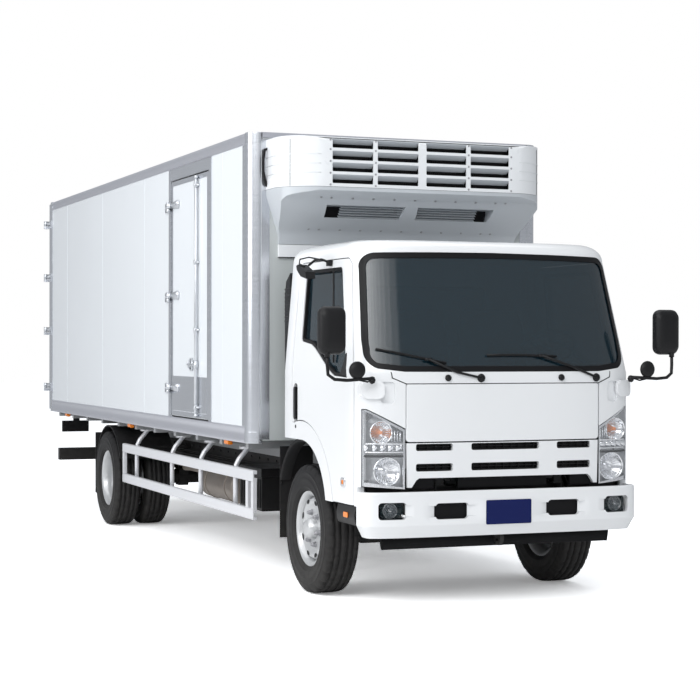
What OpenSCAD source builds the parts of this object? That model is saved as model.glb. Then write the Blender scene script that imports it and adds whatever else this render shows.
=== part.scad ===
// Refrigerated truck: cab-over cab that tilts on a ladder chassis, with an insulated load box.
// Front faces -Y, the truck's left side is +X, the ground is z = 0. Lengths along the truck (names
// ending in _y, _front or _rear) are measured from the front axle and centred on the truck at the end.

/* [Wheels] */
// Distance between the front and rear axles
wheelbase = 4650; // [3800:10:5600]
// Outer radius of the tyres
tyre_r = 407; // [380:1:450]
// Width of a tyre at its sidewalls
tyre_w = 225; // [190:1:240]
// Radius of the rim's bead seat
bead_r = 222; // [205:1:235]
// Height of the rim flange above the bead seat
flange_h = 16; // [12:1:20]
// Width across the rim flanges
rim_w = 170; // [150:1:180]
// Front tyre's centre from the truck's centre
front_tyre_x = 815; // [790:1:900]
// Outer rear tyre's centre from the truck's centre
rear_tyre_x = 980; // [960:1:1050]
// Distance between the centres of twin tyres
twin_pitch = 270; // [255:1:290]
// Kingpin's distance from the truck's centre
kingpin_x = 700; // [680:1:715]
// Kingpin radius
kingpin_r = 20; // [15:1:22]
// Steering arm length, from kingpin to tie rod pin
arm_len = 185; // [150:1:190]
// Radius of the wheel spindles
spindle_r = 30; // [24:1:34]

/* [Chassis] */
// Half width over the side rails
rail_half = 425; // [400:1:435]
// Depth of a side rail
rail_h = 190; // [150:1:220]
// Height of the top of the side rails
rail_top = 735; // [700:1:745]
// Flange width of a side rail
rail_flange = 62; // [50:1:75]
// Plate thickness of the side rails
rail_t = 10; // [8:1:14]
// Height of the cab tilt pivot
tilt_z = 785; // [780:1:800]
// Cab tilt pivot, ahead of the front axle
tilt_y = -850; // [-855:1:-840]
// Radius of the cab tilt pin
tilt_pin_r = 15; // [10:1:18]

/* [Bumper] */
// Foremost face of the bumper
bumper_front = -1008; // [-1040:1:-1006]
// Half width of the bumper
bumper_half = 910; // [880:1:925]
// Top of the bumper
bumper_top = 706; // [690:1:708]
// Bottom of the bumper
bumper_bottom = 435; // [400:1:470]
// Bumper shell thickness
bumper_t = 24; // [15:1:26]
// Radius of the bumper's corners in plan
bumper_r = 130; // [100:1:160]
// Rear end of the bumper's wings
bumper_wing_y = -832; // [-840:1:-826]

/* [Cab] */
// Half width of the cab at its belt line
cab_half = 925; // [880:1:950]
// Half width of the cab at the top of the doors
cab_top_half = 870; // [850:1:890]
// Flat front face of the cab
cab_front = -968; // [-975:1:-960]
// Back face of the cab
cab_rear = 440; // [400:1:480]
// Radius of the cab's front corners in plan
corner_r = 180; // [150:1:190]
// Lowest edge of the front panel
cab_bottom = 730; // [726:1:740]
// Height where the windscreen's slope starts
slope_z = 1395; // [1380:1:1410]
// Height where the side walls start to lean in
belt_z = 1400; // [1350:1:1450]
// Height of the roof
roof_z = 2205; // [2190:1:2300]
// Rearward lean of the windscreen over its height
screen_lean = 220; // [180:1:240]
// Thickness of the cab's walls and doors
cab_wall = 55; // [45:1:60]
// Underside of the rear part of the cab floor
floor_rear_z = 965; // [955:1:975]
// Underside of the footwell
foot_z = 765; // [760:1:770]
// Wheel arch radius
arch_r = 451; // [450:1:470]
// Wheel arch centre, behind the front axle
arch_y = 82; // [60:1:90]
// Wheel arch centre, above the ground
arch_z = 514; // [500:1:520]
// Width of the arch lip, up to the door's edge
lip_w = 125; // [100:1:130]
// Front edge of the cab doors
door_front = -800; // [-805:1:-780]
// Rear edge of the cab doors
door_rear = 250; // [230:1:300]
// Bottom edge of the cab doors
door_bottom = 622; // [600:1:650]
// Gap around doors and lid
door_gap = 8; // [7:1:12]
// Half width of the front lid
lid_half = 640; // [600:1:650]
// Bottom of the front lid
lid_bottom = 996; // [980:1:1010]
// Top of the front lid
lid_top = 1336; // [1320:1:1345]
// Steering wheel radius
wheel_ring_r = 205; // [190:1:230]

/* [Load box] */
// Half width over the box
box_half = 1075; // [1000:1:1250]
// Front face of the box, behind the front axle
box_front = 696; // [680:1:800]
// Length of the box, to the outside of its rear doors
box_len = 6422; // [5200:1:7600]
// Underside of the box's bottom rails
box_bottom = 908; // [890:1:950]
// Top of the box
box_top = 2987; // [2600:1:3200]
// Thickness of the insulated walls and doors
wall_t = 80; // [60:1:100]
// Height of the side rails along the box's top edge
top_rail_h = 81; // [60:1:110]
// Height of the side rails along the box's bottom edge
bottom_rail_h = 112; // [90:1:130]
// How far the aluminium edging stands proud of the panels
trim_proud = 5; // [3:1:8]
// Radius of the box's front corner posts
post_r = 85; // [81:1:110]
// Width of the rear frame's posts
rear_post_w = 90; // [70:1:110]
// Front edge of the side door
side_door_front = 1625; // [1500:1:1700]
// Width of the side door
side_door_w = 965; // [700:1:1000]
// Height of the side door
side_door_h = 1775; // [1500:1:1850]
// Radius of the box doors' hinge pins
hinge_pin_r = 9; // [6:1:11]
// How far the hinge pins stand out from the box
pin_out = 30; // [26:1:36]
// How far the lock rods stand out from the doors
rod_out = 38; // [30:1:40]

/* [Refrigeration unit] */
// Flat front face of the unit
unit_front = 276; // [250:1:330]
// Half width of the unit's flat face
unit_flat_half = 660; // [600:1:700]
// Half width of the unit at the box
unit_half = 958; // [900:1:980]
// Top of the unit
unit_top = 2930; // [2900:1:2940]
// Seam between the louvred cover and its base
unit_seam = 2598; // [2560:1:2620]
// Underside of the base, at the box
unit_bottom = 2155; // [2140:1:2170]

/* [Mirrors] */
// Outermost edge of the mirror heads
mirror_half = 1195; // [1150:1:1230]
// Width of a mirror head
mirror_w = 165; // [120:1:190]

/* [Hidden] */

seat_gap = 0.3;          // between pieces that rest on each other
run_gap = 0.05;          // radial clearance of a running fit
big = 9000;              // longer than anything here
white = [0.93, 0.94, 0.95];
silver = [0.76, 0.78, 0.81];
grey = [0.62, 0.64, 0.67];
black = [0.06, 0.06, 0.07];
glass = [0.16, 0.22, 0.28, 0.6];
orange = [0.9, 0.35, 0.08];

box_rear = box_front + box_len;
plate_t = 4;
centre_y = (bumper_front - plate_t + box_rear + rod_out) / 2;
flange_r = bead_r + flange_h;
rail_bottom = rail_top - rail_h;
rail_mid = rail_half - rail_flange / 2;
rail_front_y = -930;
rail_rear_y = box_rear - 110;
panel_half = box_half - trim_proud;
floor_top = box_bottom + bottom_rail_h - seat_gap;
bearer_z = box_bottom - 42;
frame_y = box_rear - wall_t - 5 - wall_t;
spring_x = rail_half - 27;
front_spring_z = 452;
rear_spring_z = tyre_r + 100;
spring_t = 36;
rear_axle_r = 62;
sidewall_in = front_tyre_x - tyre_w / 2;
side_door_z = box_bottom + bottom_rail_h + 12;

// points on an arc, from angle a to angle b
function arc(c, r, a, b, n = 5) =
    [for (i = [0:n]) [c[0] + r * cos(a + (b - a) * i / n), c[1] + r * sin(a + (b - a) * i / n)]];
// outline of a rectangle with round corners
function round_rect(x0, y0, x1, y1, r) = concat(
    arc([x1 - r, y1 - r], r, 0, 90), arc([x0 + r, y1 - r], r, 90, 180),
    arc([x0 + r, y0 + r], r, 180, 270), arc([x1 - r, y0 + r], r, 270, 360));
function flipped(p) = [for (i = [len(p) - 1:-1:0]) [-p[i][0], p[i][1]]];

module in_frame() translate([0, -centre_y, 0]) children();
module both_sides() {
    children();
    mirror([1, 0, 0]) children();
}
// a block from its lowest to its highest corner
module block(a, b) translate(a) cube(b - a);
// an outline in Y and Z, drawn out from x0 to x1
module along_x(x0, x1) translate([x0, 0, 0]) rotate([90, 0, 90]) linear_extrude(x1 - x0) children();
// an outline in X and Z, drawn out from y0 to y1
module along_y(y0, y1) translate([0, y1, 0]) rotate([90, 0, 0]) linear_extrude(y1 - y0) children();
// an outline in X and Y, drawn out from z0 to z1
module along_z(z0, z1) translate([0, 0, z0]) linear_extrude(z1 - z0) children();
// a bar of round section along X, centred on y, z
module rod_x(x0, x1, y, z, r) translate([x0, y, z]) rotate([0, 90, 0]) cylinder(h = x1 - x0, r = r, $fn = 48);
module rod_y(x, y0, y1, z, r) translate([x, y0, z]) rotate([-90, 0, 0]) cylinder(h = y1 - y0, r = r, $fn = 48);
module rod_z(x, y, z0, z1, r) translate([x, y, z0]) cylinder(h = z1 - z0, r = r, $fn = 48);
// a round bar between two points
module bar(a, b, r) {
    d = b - a;
    translate(a) rotate([0, acos(d[2] / norm(d)), atan2(d[1], d[0])]) cylinder(h = norm(d), r = r, $fn = 32);
}

// ---- chassis ----

// columns: place along the truck, of a cross member
bearing_y = 2500;
cross_y = [-800, 1110, 1800, bearing_y, 3300, wheelbase - 620, wheelbase + 620, wheelbase + 1400, rail_rear_y - 60];
cross_z = [rail_top - 70, rail_top - 12];
front_eye_z = 410;

module chassis_frame() color(black) {
    difference() {
        union() {
            both_sides() difference() {
                block([rail_half - rail_flange, rail_front_y, rail_bottom], [rail_half, rail_rear_y, rail_top]);
                block([rail_half - rail_flange - 1, rail_front_y - 1, rail_bottom + rail_t],
                    [rail_half - rail_t, rail_rear_y + 1, rail_top - rail_t]);
            }
            for (y = cross_y)
                block([-rail_half + rail_t, y, cross_z[0]], [rail_half - rail_t, y + 50, cross_z[1]]);
            // beam behind the bumper, with the towing eye below it
            block([-rail_half, rail_front_y, rail_bottom - 60], [rail_half, rail_front_y + 40, rail_bottom + 5]);
            both_sides() block([640 - 240, rail_front_y + 2, rail_bottom - 25], [820, rail_front_y + 38, rail_bottom + 5]);
            block([-30, rail_front_y, front_eye_z - 45], [-5, rail_front_y + 40, rail_bottom - 50]);
            rod_x(-30, -5, rail_front_y + 20, front_eye_z, 45);
            // seats of the cab: tilt brackets in front, rests behind
            both_sides() {
                block([rail_half - 55, tilt_y - 30, rail_top - 5], [rail_half - 5, tilt_y + 30, tilt_z + 25]);
                rod_x(rail_half - 115, rail_half - 50, tilt_y, tilt_z, tilt_pin_r);
                block([rail_half - 60, cab_rear - 75, rail_top - 5],
                    [rail_half - 5, cab_rear - 15, floor_rear_z - seat_gap]);
            }
            // posts to the underrun bar
            both_sides() block([rail_half - 55, rail_rear_y - 115, 430], [rail_half - 5, rail_rear_y - 65, rail_bottom + 5]);
        }
        rod_x(-31, -4, rail_front_y + 20, front_eye_z, 22);
        // the rails' front ends are cut low, clear of the panel that swings down as the cab tilts
        both_sides() block([rail_half - rail_flange - 2, rail_front_y - 2, rail_top - 75], [rail_half + 2, tilt_y - 35, rail_top + 1]);
    }
}

gearbox_end = 1080;
module engine_block() color(grey) {
    block([-290, -420, 510], [290, 470, 930]);
    block([-250, -380, 470], [250, 380, 515]);
    block([-190, 465, 520], [190, gearbox_end, 800]);
    // mounts on the side rails
    both_sides() block([285, -60, 600], [rail_half - rail_t - seat_gap, 20, 660]);
}

module radiator() color(black) {
    block([-280, -715, 560], [280, -640, 975]);
    both_sides() block([275, -700, 600], [rail_half - rail_t - seat_gap, -655, 690]);
}

module front_axle() color(black) {
    difference() {
        union() {
            block([-560, -40, 305], [560, 40, 395]);
            both_sides() {
                block([540, -36, 310], [kingpin_x - 75, 36, 400]);
                rod_z(kingpin_x, 0, 355, 445, 38);
                block([kingpin_x - 80, -34, 358], [kingpin_x - 10, 34, 400]);
                block([spring_x - 42, -60, 390], [spring_x + 42, 60, front_spring_z - spring_t - seat_gap]);
            }
        }
        both_sides() rod_z(kingpin_x, 0, 300, 500, kingpin_r + run_gap);
    }
}

module knuckle_solid() {
    difference() {
        union() {
            rod_z(kingpin_x, 0, 300, 500, kingpin_r);
            rod_z(kingpin_x, 0, 318, 350, 40);
            rod_z(kingpin_x, 0, 450, 482, 40);
            block([kingpin_x + 42, -38, 318], [kingpin_x + 66, 38, 482]);
            block([kingpin_x, -32, 318], [kingpin_x + 50, 32, 350]);
            block([kingpin_x, -32, 450], [kingpin_x + 50, 32, 482]);
            rod_x(kingpin_x + 60, front_tyre_x + 48, 0, tyre_r, spindle_r);
            // steering arm with its upright pin
            block([kingpin_x - 20, 20, 318], [kingpin_x + 20, arm_len, 344]);
            rod_z(kingpin_x, arm_len, 318, 344, 24);
            rod_z(kingpin_x, arm_len, 280, 320, 11);
        }
    }
}
module knuckle_left() color(grey) knuckle_solid();
module knuckle_right() color(grey) mirror([1, 0, 0]) knuckle_solid();

module tie_rod() color(grey) difference() {
    union() {
        rod_x(-kingpin_x, kingpin_x, arm_len, 297, 14);
        both_sides() rod_z(kingpin_x, arm_len, 282, 312, 26);
    }
    both_sides() rod_z(kingpin_x, arm_len, 270, 330, 11 + run_gap);
}

module rear_axle() color(black) translate([0, wheelbase, tyre_r]) {
    stub = rear_tyre_x - twin_pitch / 2 + 30;
    rod_x(-rear_tyre_x + twin_pitch + 80, rear_tyre_x - twin_pitch - 80, 0, 0, rear_axle_r);
    rod_x(-stub, stub, 0, 0, 44);
    intersection() {
        translate([0, 20, 0]) sphere(r = 175, $fn = 48);
        block([-150, -150, -175], [150, 200, 165]);
    }
    rod_y(0, -270, -100, 20, 55);
    both_sides() block([spring_x - 42, -60, -78], [spring_x + 42, 60, rear_spring_z - spring_t - tyre_r - seat_gap]);
}

// columns: axle's place, half length, height of the spring's middle, rise to its ends
springs = [[0, 640, front_spring_z, 70], [wheelbase, 700, rear_spring_z, 15]];

module leaf_springs() color(black) both_sides() for (s = springs) let (y = s[0], l = s[1], z = s[2], up = s[3]) {
    along_x(spring_x - 35, spring_x + 35) polygon([[y - l, z + up + 11], [y, z + 12], [y + l, z + up + 11], [y + l, z + up],
        [y + l * 0.75, z + up * 0.6 - 8], [y + l * 0.15, z - spring_t], [y - l * 0.15, z - spring_t],
        [y - l * 0.75, z + up * 0.6 - 8], [y - l, z + up]]);
    // hangers beside the side rail
    for (e = [-1, 1]) block([spring_x - 35.3 - 12, y + e * l - 35, z + up - 25], [spring_x - 35.3, y + e * l + 35, rail_bottom + 50]);
}

module drive_shaft() color(black) {
    bar([0, gearbox_end + 3, 590], [0, bearing_y + 20, 575], 38);
    block([-70, bearing_y + 8, 520], [70, bearing_y + 38, cross_z[0] - seat_gap]);
    bar([0, bearing_y + 20, 575], [0, wheelbase - 280, tyre_r + 24], 38);
}

module fuel_tank() color(grey) {
    x0 = rail_half + 40;
    translate([x0, 0, 0]) along_y(1250, 2150) polygon(round_rect(0, 330, 400, 715, 60));
    for (y = [1350, 2010]) block([rail_half + seat_gap, y, 560], [x0 + 10, y + 50, 700]);
}

module battery_box() color(black) {
    x0 = rail_half + 40;
    mirror([1, 0, 0]) {
        block([x0, 1250, 400], [x0 + 330, 1750, 700]);
        for (y = [1300, 1650]) block([rail_half + seat_gap, y, 560], [x0 + 10, y + 50, 700]);
    }
}

module exhaust_silencer() color(grey) mirror([1, 0, 0]) {
    rod_y(rail_half + 200, 2100, 2950, 500, 130);
    rod_y(rail_half + 200, 2949, 3700, 560, 32);
    for (y = [2250, 2750]) block([rail_half + seat_gap, y, 560], [rail_half + 130, y + 40, 600]);
}

// outline of the bumper in plan, drawn in by t
function bumper_plan(t) = concat([[-bumper_half + t, bumper_wing_y]],
    arc([-bumper_half + bumper_r, bumper_front + bumper_r], bumper_r - t, 180, 270),
    arc([bumper_half - bumper_r, bumper_front + bumper_r], bumper_r - t, 270, 360),
    [[bumper_half - t, bumper_wing_y]]);
// columns: inner and outer edge, bottom and top of a hole in the bumper
bumper_holes = [[264, 477, 541, 636], [668, 818, 552, 642]];
plate_half = 150;
plate_z = [501, 646];

module front_bumper() color(white) {
    difference() {
        along_z(bumper_bottom, bumper_top) polygon(bumper_plan(0));
        along_z(bumper_bottom - 1, bumper_top + 1)
            polygon(concat([[-bumper_half + bumper_t, bumper_wing_y + 1]], bumper_plan(bumper_t),
                [[bumper_half - bumper_t, bumper_wing_y + 1]]));
        both_sides() for (h = bumper_holes)
            along_y(bumper_front - 10, bumper_front + 160) polygon(round_rect(h[0], h[2], h[1], h[3], 12));
        for (x = [-105, 105]) rod_y(x, bumper_front - 10, bumper_front + 60, 573, 5);
    }
    // stays to the beam behind
    both_sides() block([300, bumper_front + bumper_t - 2, rail_bottom - 60], [380, rail_front_y - seat_gap, rail_bottom - 5]);
}

module number_plate() color([0.08, 0.1, 0.3]) difference() {
    along_y(bumper_front - plate_t, bumper_front - seat_gap)
        polygon(round_rect(-plate_half, plate_z[0], plate_half, plate_z[1], 8));
    for (x = [-105, 105]) rod_y(x, bumper_front - 10, bumper_front + 10, 573, 5);
}

fog_hole = bumper_holes[1];

// what lies inside the bumper's outline drawn in by t, between two heights
module within_bumper(t, low, high) intersection() {
    along_z(low, high) polygon(concat(bumper_plan(t),
        [[bumper_half - t, bumper_front + 300], [-bumper_half + t, bumper_front + 300]]));
    children();
}

tail_z = 700;
marker_y = [1228, 3929, 6364];

module lamps() {
    // fog lamps in the bumper
    color(silver) both_sides() {
        within_bumper(14, fog_hole[2] + 4, fog_hole[3] - 4)
            block([fog_hole[0] + 4, bumper_front, 500], [fog_hole[1] - 4, bumper_front + 100, 700]);
        within_bumper(bumper_t + seat_gap, fog_hole[2] - 7, fog_hole[3] + 8)
            block([fog_hole[0] - 12, bumper_front, 500], [fog_hole[1] + 8, bumper_front + 60, 700]);
    }
    // tail lamps
    color("red") both_sides() block([700, frame_y + 30, tail_z], [960, frame_y + wall_t, tail_z + 110]);
    color(black) both_sides() block([780, frame_y + 30, tail_z + 105], [860, frame_y + 70, box_bottom - seat_gap]);
    // side markers under the box
    color(orange) both_sides() for (y = marker_y)
        block([box_half - 45, y - 45, box_bottom - 32], [box_half - 8, y + 45, box_bottom - seat_gap]);
}

flap_t = 8;
guard_r = tyre_r + 45;
guard_x0 = rear_tyre_x - twin_pitch - 120;
module mudguards() color(black) {
    // flaps behind the front wheels, on arms from the side rails
    both_sides() {
        block([kingpin_x - 10, 500, 300], [cab_half - 5, 500 + flap_t, 900]);
        bar([rail_half + seat_gap, 512, 650], [kingpin_x + 30, 512, 650], 12);
    }
    // rear wheel guards with their flaps and stays
    both_sides() {
        difference() {
            rod_x(guard_x0, box_half - 12, wheelbase, tyre_r, guard_r + 7);
            rod_x(guard_x0 - 1, box_half - 11, wheelbase, tyre_r, guard_r);
            block([0, wheelbase - 800, -200], [1300, wheelbase + 900, tyre_r + 190]);
        }
        block([guard_x0, wheelbase + 530, 235], [box_half - 22, wheelbase + 530 + flap_t, 780]);
        bar([rail_half + seat_gap, wheelbase + 517, 700], [rear_tyre_x, wheelbase + 517, 700], 14);
        bar([rail_half + seat_gap, wheelbase - guard_r * 0.8, 690], [rear_tyre_x, wheelbase - guard_r * 0.8, 690], 14);
        bar([rail_half + seat_gap, wheelbase + guard_r * 0.8, 690], [rear_tyre_x, wheelbase + guard_r * 0.8, 690], 14);
    }
}

guard_y = [664, 4187];
guard_z = [402, 477, 657, 732];
// columns: place along the truck of a bracket
guard_posts = [1218, 2058, 2837, 3921];

module side_guards() color(silver) both_sides() {
    x1 = box_half - 20;
    x0 = x1 - 30;
    block([x0, guard_y[0], guard_z[0]], [x1, guard_y[1], guard_z[1]]);
    block([x0, guard_y[0], guard_z[2]], [x1, guard_y[1], guard_z[3]]);
    block([x0 + 1, guard_y[0], guard_z[0]], [x1 - 1, guard_y[0] + 160, guard_z[3]]);
    block([x0 + 1, guard_y[1] - 45, guard_z[0]], [x1 - 1, guard_y[1], guard_z[3]]);
    for (y = guard_posts) {
        block([x0 - 28, y - 18, guard_z[0] + 8], [x0 + 1, y + 18, guard_z[3] + 30]);
        bar([x0 - 14, y, guard_z[3] + 20], [x0 - 120, y, bearer_z - 14], 16);
        block([x0 - 150, y - 30, bearer_z - 26], [x0 - 95, y + 30, bearer_z - seat_gap]);
    }
}

module rear_underrun_bar() color(black) {
    block([-1000, rail_rear_y - 65 + seat_gap, 422], [1000, rail_rear_y + 15, rail_bottom - 5]);
    difference() {
        union() {
            block([-30, rail_rear_y - 62, 345], [-5, rail_rear_y + 12, 430]);
            rod_x(-30, -5, rail_rear_y - 25, 345, 42);
        }
        rod_x(-31, -4, rail_rear_y - 25, 345, 20);
    }
}

// ---- load box ----

bearer_count = 11;

module box_floor() color(grey) {
    block([-panel_half + 35, box_front + post_r + seat_gap, box_bottom + 40], [panel_half - 35, frame_y - seat_gap, floor_top - 12]);
    // the load floor's sheet, between the walls
    block([-panel_half + wall_t + 2, box_front + post_r + seat_gap, floor_top - 13], [panel_half - wall_t - 2, frame_y - seat_gap, floor_top]);
    for (i = [0:bearer_count - 1]) let (y = box_front + 140 + i * (box_len - 480) / (bearer_count - 1))
        block([-panel_half + 40, y, bearer_z], [panel_half - 40, y + 60, box_bottom + 41]);
    both_sides() block([rail_half - 60, box_front + 60, rail_top + seat_gap], [rail_half, frame_y - 60, bearer_z + 1]);
}

module box_front_wall() color(white) difference() {
    block([-box_half + post_r + seat_gap, box_front, box_bottom + 20], [box_half - post_r - seat_gap, box_front + wall_t, box_top - 40]);
    block([-box_half, box_front - 1, box_top - 42], [box_half, box_front + 20, box_top]);
}

module side_wall() block([panel_half - wall_t, box_front + post_r + seat_gap, box_bottom + bottom_rail_h],
    [panel_half, frame_y - seat_gap, box_top - top_rail_h]);

module box_left_wall() color(white) side_wall();

module box_right_wall() color(white) difference() {
    mirror([1, 0, 0]) side_wall();
    block([-box_half - 50, side_door_front - 14, side_door_z - 30],
        [-panel_half + wall_t + 50, side_door_front + side_door_w + 10, side_door_z + side_door_h + 10]);
}

module box_roof() color(white) block([-panel_half + wall_t + seat_gap, box_front + wall_t + seat_gap, box_top - wall_t],
    [panel_half - wall_t - seat_gap, frame_y - seat_gap, box_top - 2]);

module box_rear_frame() color(silver) {
    difference() {
        block([-box_half, frame_y, box_bottom], [box_half, frame_y + wall_t, box_top]);
        block([-box_half + rear_post_w, frame_y - 1, floor_top], [box_half - rear_post_w, frame_y + wall_t + 1, box_top - 120]);
    }
    // hinges of the rear doors: a leaf on the frame's side with its pin
    both_sides() for (z = hinge_z) {
        block([box_half - 1, frame_y + 10, z - 40], [box_half + 10, frame_y + wall_t, z + 40]);
        block([box_half + 2, frame_y + 40, z - 40], [box_half + 10, rear_pin[1] - 5, z - 14]);
        block([box_half + 2, rear_pin[1] - 30, z - 40], [rear_pin[0], rear_pin[1] - 5, z - 14]);
        rod_z(rear_pin[0], rear_pin[1], z - 40, z - 14, 16);
        rod_z(rear_pin[0], rear_pin[1], z - 15, z + 38, hinge_pin_r);
    }
}

// hinge knuckles stand out from the box; the pin runs through them and the door's knuckles
hinge_z = [box_bottom + 240, box_bottom + 800, box_bottom + 1330, box_bottom + 1860];
side_hinge_z = [1234, 1930, 2616];
side_pin = [-panel_half - pin_out, side_door_front + side_door_w + 6];
rear_pin = [box_half + pin_out, box_rear + 22];

module box_trim() color(silver) {
    both_sides() {
        // rails along the top and bottom edges
        block([panel_half - wall_t, box_front + post_r + seat_gap, box_top - top_rail_h + seat_gap],
            [box_half, frame_y - seat_gap, box_top]);
        block([panel_half - 35 + seat_gap, box_front + post_r + seat_gap, box_bottom],
            [box_half, frame_y - seat_gap, box_bottom + bottom_rail_h - seat_gap]);
        // round corner post
        intersection() {
            rod_z(box_half - post_r, box_front + post_r, box_bottom, box_top, post_r);
            block([box_half - post_r, box_front, box_bottom], [box_half, box_front + post_r, box_top]);
        }
    }
    // top rail across the front
    block([-box_half + post_r + seat_gap, box_front, box_top - 40 + seat_gap],
        [box_half - post_r - seat_gap, box_front + wall_t, box_top]);
    // frame of the side doorway
    difference() {
        block([-box_half - 2, side_door_front - 75, side_door_z - 30], [-panel_half - seat_gap, side_door_front + side_door_w + 75, box_top - top_rail_h]);
        block([-box_half - 50, side_door_front - 13, side_door_z - 31],
            [-panel_half + 50, side_door_front + side_door_w + 9, side_door_z + side_door_h + 10]);
    }
    // fixed halves of the side door's hinges
    for (z = side_hinge_z) {
        block([-box_half - 9, side_pin[1] + 12, z - 35], [-box_half - 1, side_pin[1] + 150, z + 35]);
        block([side_pin[0], side_pin[1] + 4, z - 35], [-box_half - 1, side_pin[1] + 30, z - 12]);
        rod_z(side_pin[0], side_pin[1], z - 35, z - 12, 15);
        rod_z(side_pin[0], side_pin[1], z - 13, z + 33, hinge_pin_r);
    }
}

// a lock rod with its guides and handle, standing off the face of a door that lies in X and Z
module lock_rod(x, face_y, z0, z1, handle_z, lever) {
    rod_z(x, face_y + rod_out - 14, z0, z1, 13);
    for (z = [z0 + 60, z0 + (z1 - z0) * 0.38, z0 + (z1 - z0) * 0.66, z1 - 60])
        block([x - 24, face_y - 1, z - 24], [x + 24, face_y + rod_out - 12, z + 24]);
    block([min(x, x + lever), face_y + rod_out - 14, handle_z - 12], [max(x, x + lever), face_y + rod_out, handle_z + 12]);
    block([x + lever - 30, face_y - 1, handle_z - 40], [x + lever + 30, face_y + rod_out - 13.5, handle_z + 40]);
}

rear_leaf_z = [box_bottom + 20, box_top - 15];
rear_leaf_y = [box_rear - wall_t, box_rear];

module rear_leaf() {
    difference() {
        union() {
            block([10, rear_leaf_y[0], rear_leaf_z[0]], [box_half - 5, rear_leaf_y[1], rear_leaf_z[1]]);
            for (z = hinge_z) {
                block([box_half - 260, box_rear - 1, z - 12], [rear_pin[0] - 6, box_rear + 8, z + 38]);
                block([rear_pin[0] - 18, box_rear, z - 12], [rear_pin[0], rear_pin[1], z + 38]);
                rod_z(rear_pin[0], rear_pin[1], z - 12, z + 38, 16);
            }
        }
        for (z = hinge_z) rod_z(rear_pin[0], rear_pin[1], z - 13, z + 39, hinge_pin_r + run_gap);
    }
    lock_rod(190, box_rear, rear_leaf_z[0] + 5, rear_leaf_z[1] - 5, box_bottom + 560, 330);
}
module rear_door_left() color(white) rear_leaf();
module rear_door_right() color(white) mirror([1, 0, 0]) rear_leaf();

module side_door() {
    z0 = side_door_z;
    z1 = side_door_z + side_door_h;
    y1 = side_door_front + side_door_w;
    color(white) difference() {
        union() {
            block([-panel_half, side_door_front, z0], [-panel_half + wall_t, y1, z1]);
            for (z = side_hinge_z) {
                block([-panel_half - 8, y1 - 215, z - 10], [-panel_half + 1, y1 - 4, z + 33]);
                block([side_pin[0], y1 - 30, z - 10], [-panel_half + 1, y1 - 4, z + 33]);
                rod_z(side_pin[0], side_pin[1], z - 10, z + 33, 15);
            }
        }
        for (z = side_hinge_z) rod_z(side_pin[0], side_pin[1], z - 11, z + 34, hinge_pin_r + run_gap);
    }
    color(silver) rotate([0, 0, -90]) translate([-side_door_front - 260, -panel_half, 0]) 
        lock_rod(0, 0, z0 + 5, z1 - 5, 1422, -195);
}

// ---- refrigeration unit ----

// plan of the unit's front and sides, drawn in by t; its corners are quarter ellipses
function unit_plan(t) = let (a = unit_half - unit_flat_half, b = 250) concat(
    [for (i = [0:8]) [unit_flat_half + (a - t) * sin(i * 90 / 8), unit_front + b - (b - t) * cos(i * 90 / 8)]],
    [[unit_half - t, box_front - seat_gap], [-unit_half + t, box_front - seat_gap]],
    [for (i = [8:-1:0]) [-unit_flat_half - (a - t) * sin(i * 90 / 8), unit_front + b - (b - t) * cos(i * 90 / 8)]]);
// columns: inner and outer edge of a louvre column
louvre_x = [[28, 322], [352, 640]];
louvre_rows = 4;
louvre_h = 58;
louvre_pitch = 77;

module refrigeration_unit() color(white) difference() {
    intersection() {
        along_z(unit_seam + seat_gap, unit_top) polygon(unit_plan(0));
        along_x(-unit_half, unit_half) polygon([[unit_front, unit_seam], [box_front, unit_seam], [box_front, unit_top],
            [unit_front + 30, unit_top], [unit_front + 8, unit_top - 8], [unit_front, unit_top - 30]]);
    }
    both_sides() for (c = louvre_x) for (i = [0:louvre_rows - 1])
        block([c[0], unit_front - 10, unit_seam + 24 + i * louvre_pitch],
            [c[1], unit_front + 60, unit_seam + 24 + i * louvre_pitch + louvre_h]);
}

// side view of the base: it leans back under the cover to the box's front wall
base_side = [[unit_front, unit_seam], [unit_front + 4, unit_seam - 22], [unit_front + 124, unit_seam - 58],
    [unit_front + 224, unit_seam - 148], [box_front - 56, unit_bottom + 187], [box_front - 22, unit_bottom + 85],
    [box_front - 14, unit_bottom], [box_front - seat_gap, unit_bottom], [box_front - seat_gap, unit_seam]];

module refrigeration_base() color(grey) difference() {
    intersection() {
        along_z(unit_bottom, unit_seam) polygon(unit_plan(0));
        along_x(-unit_half, unit_half) polygon(base_side);
        along_y(0, box_front) polygon([[-unit_half, unit_seam], [-unit_half, unit_seam - 40], [-unit_half + 85, unit_bottom + 85],
            [-unit_half + 85, unit_bottom], [unit_half - 85, unit_bottom], [unit_half - 85, unit_bottom + 85],
            [unit_half, unit_seam - 40], [unit_half, unit_seam]]);
    }
    both_sides() along_y(unit_front + 100, unit_front + 330)
        polygon([[60, unit_seam - 181], [600, unit_seam - 181], [612, unit_seam - 104], [46, unit_seam - 104]]);
}

// ---- cab ----

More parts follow.
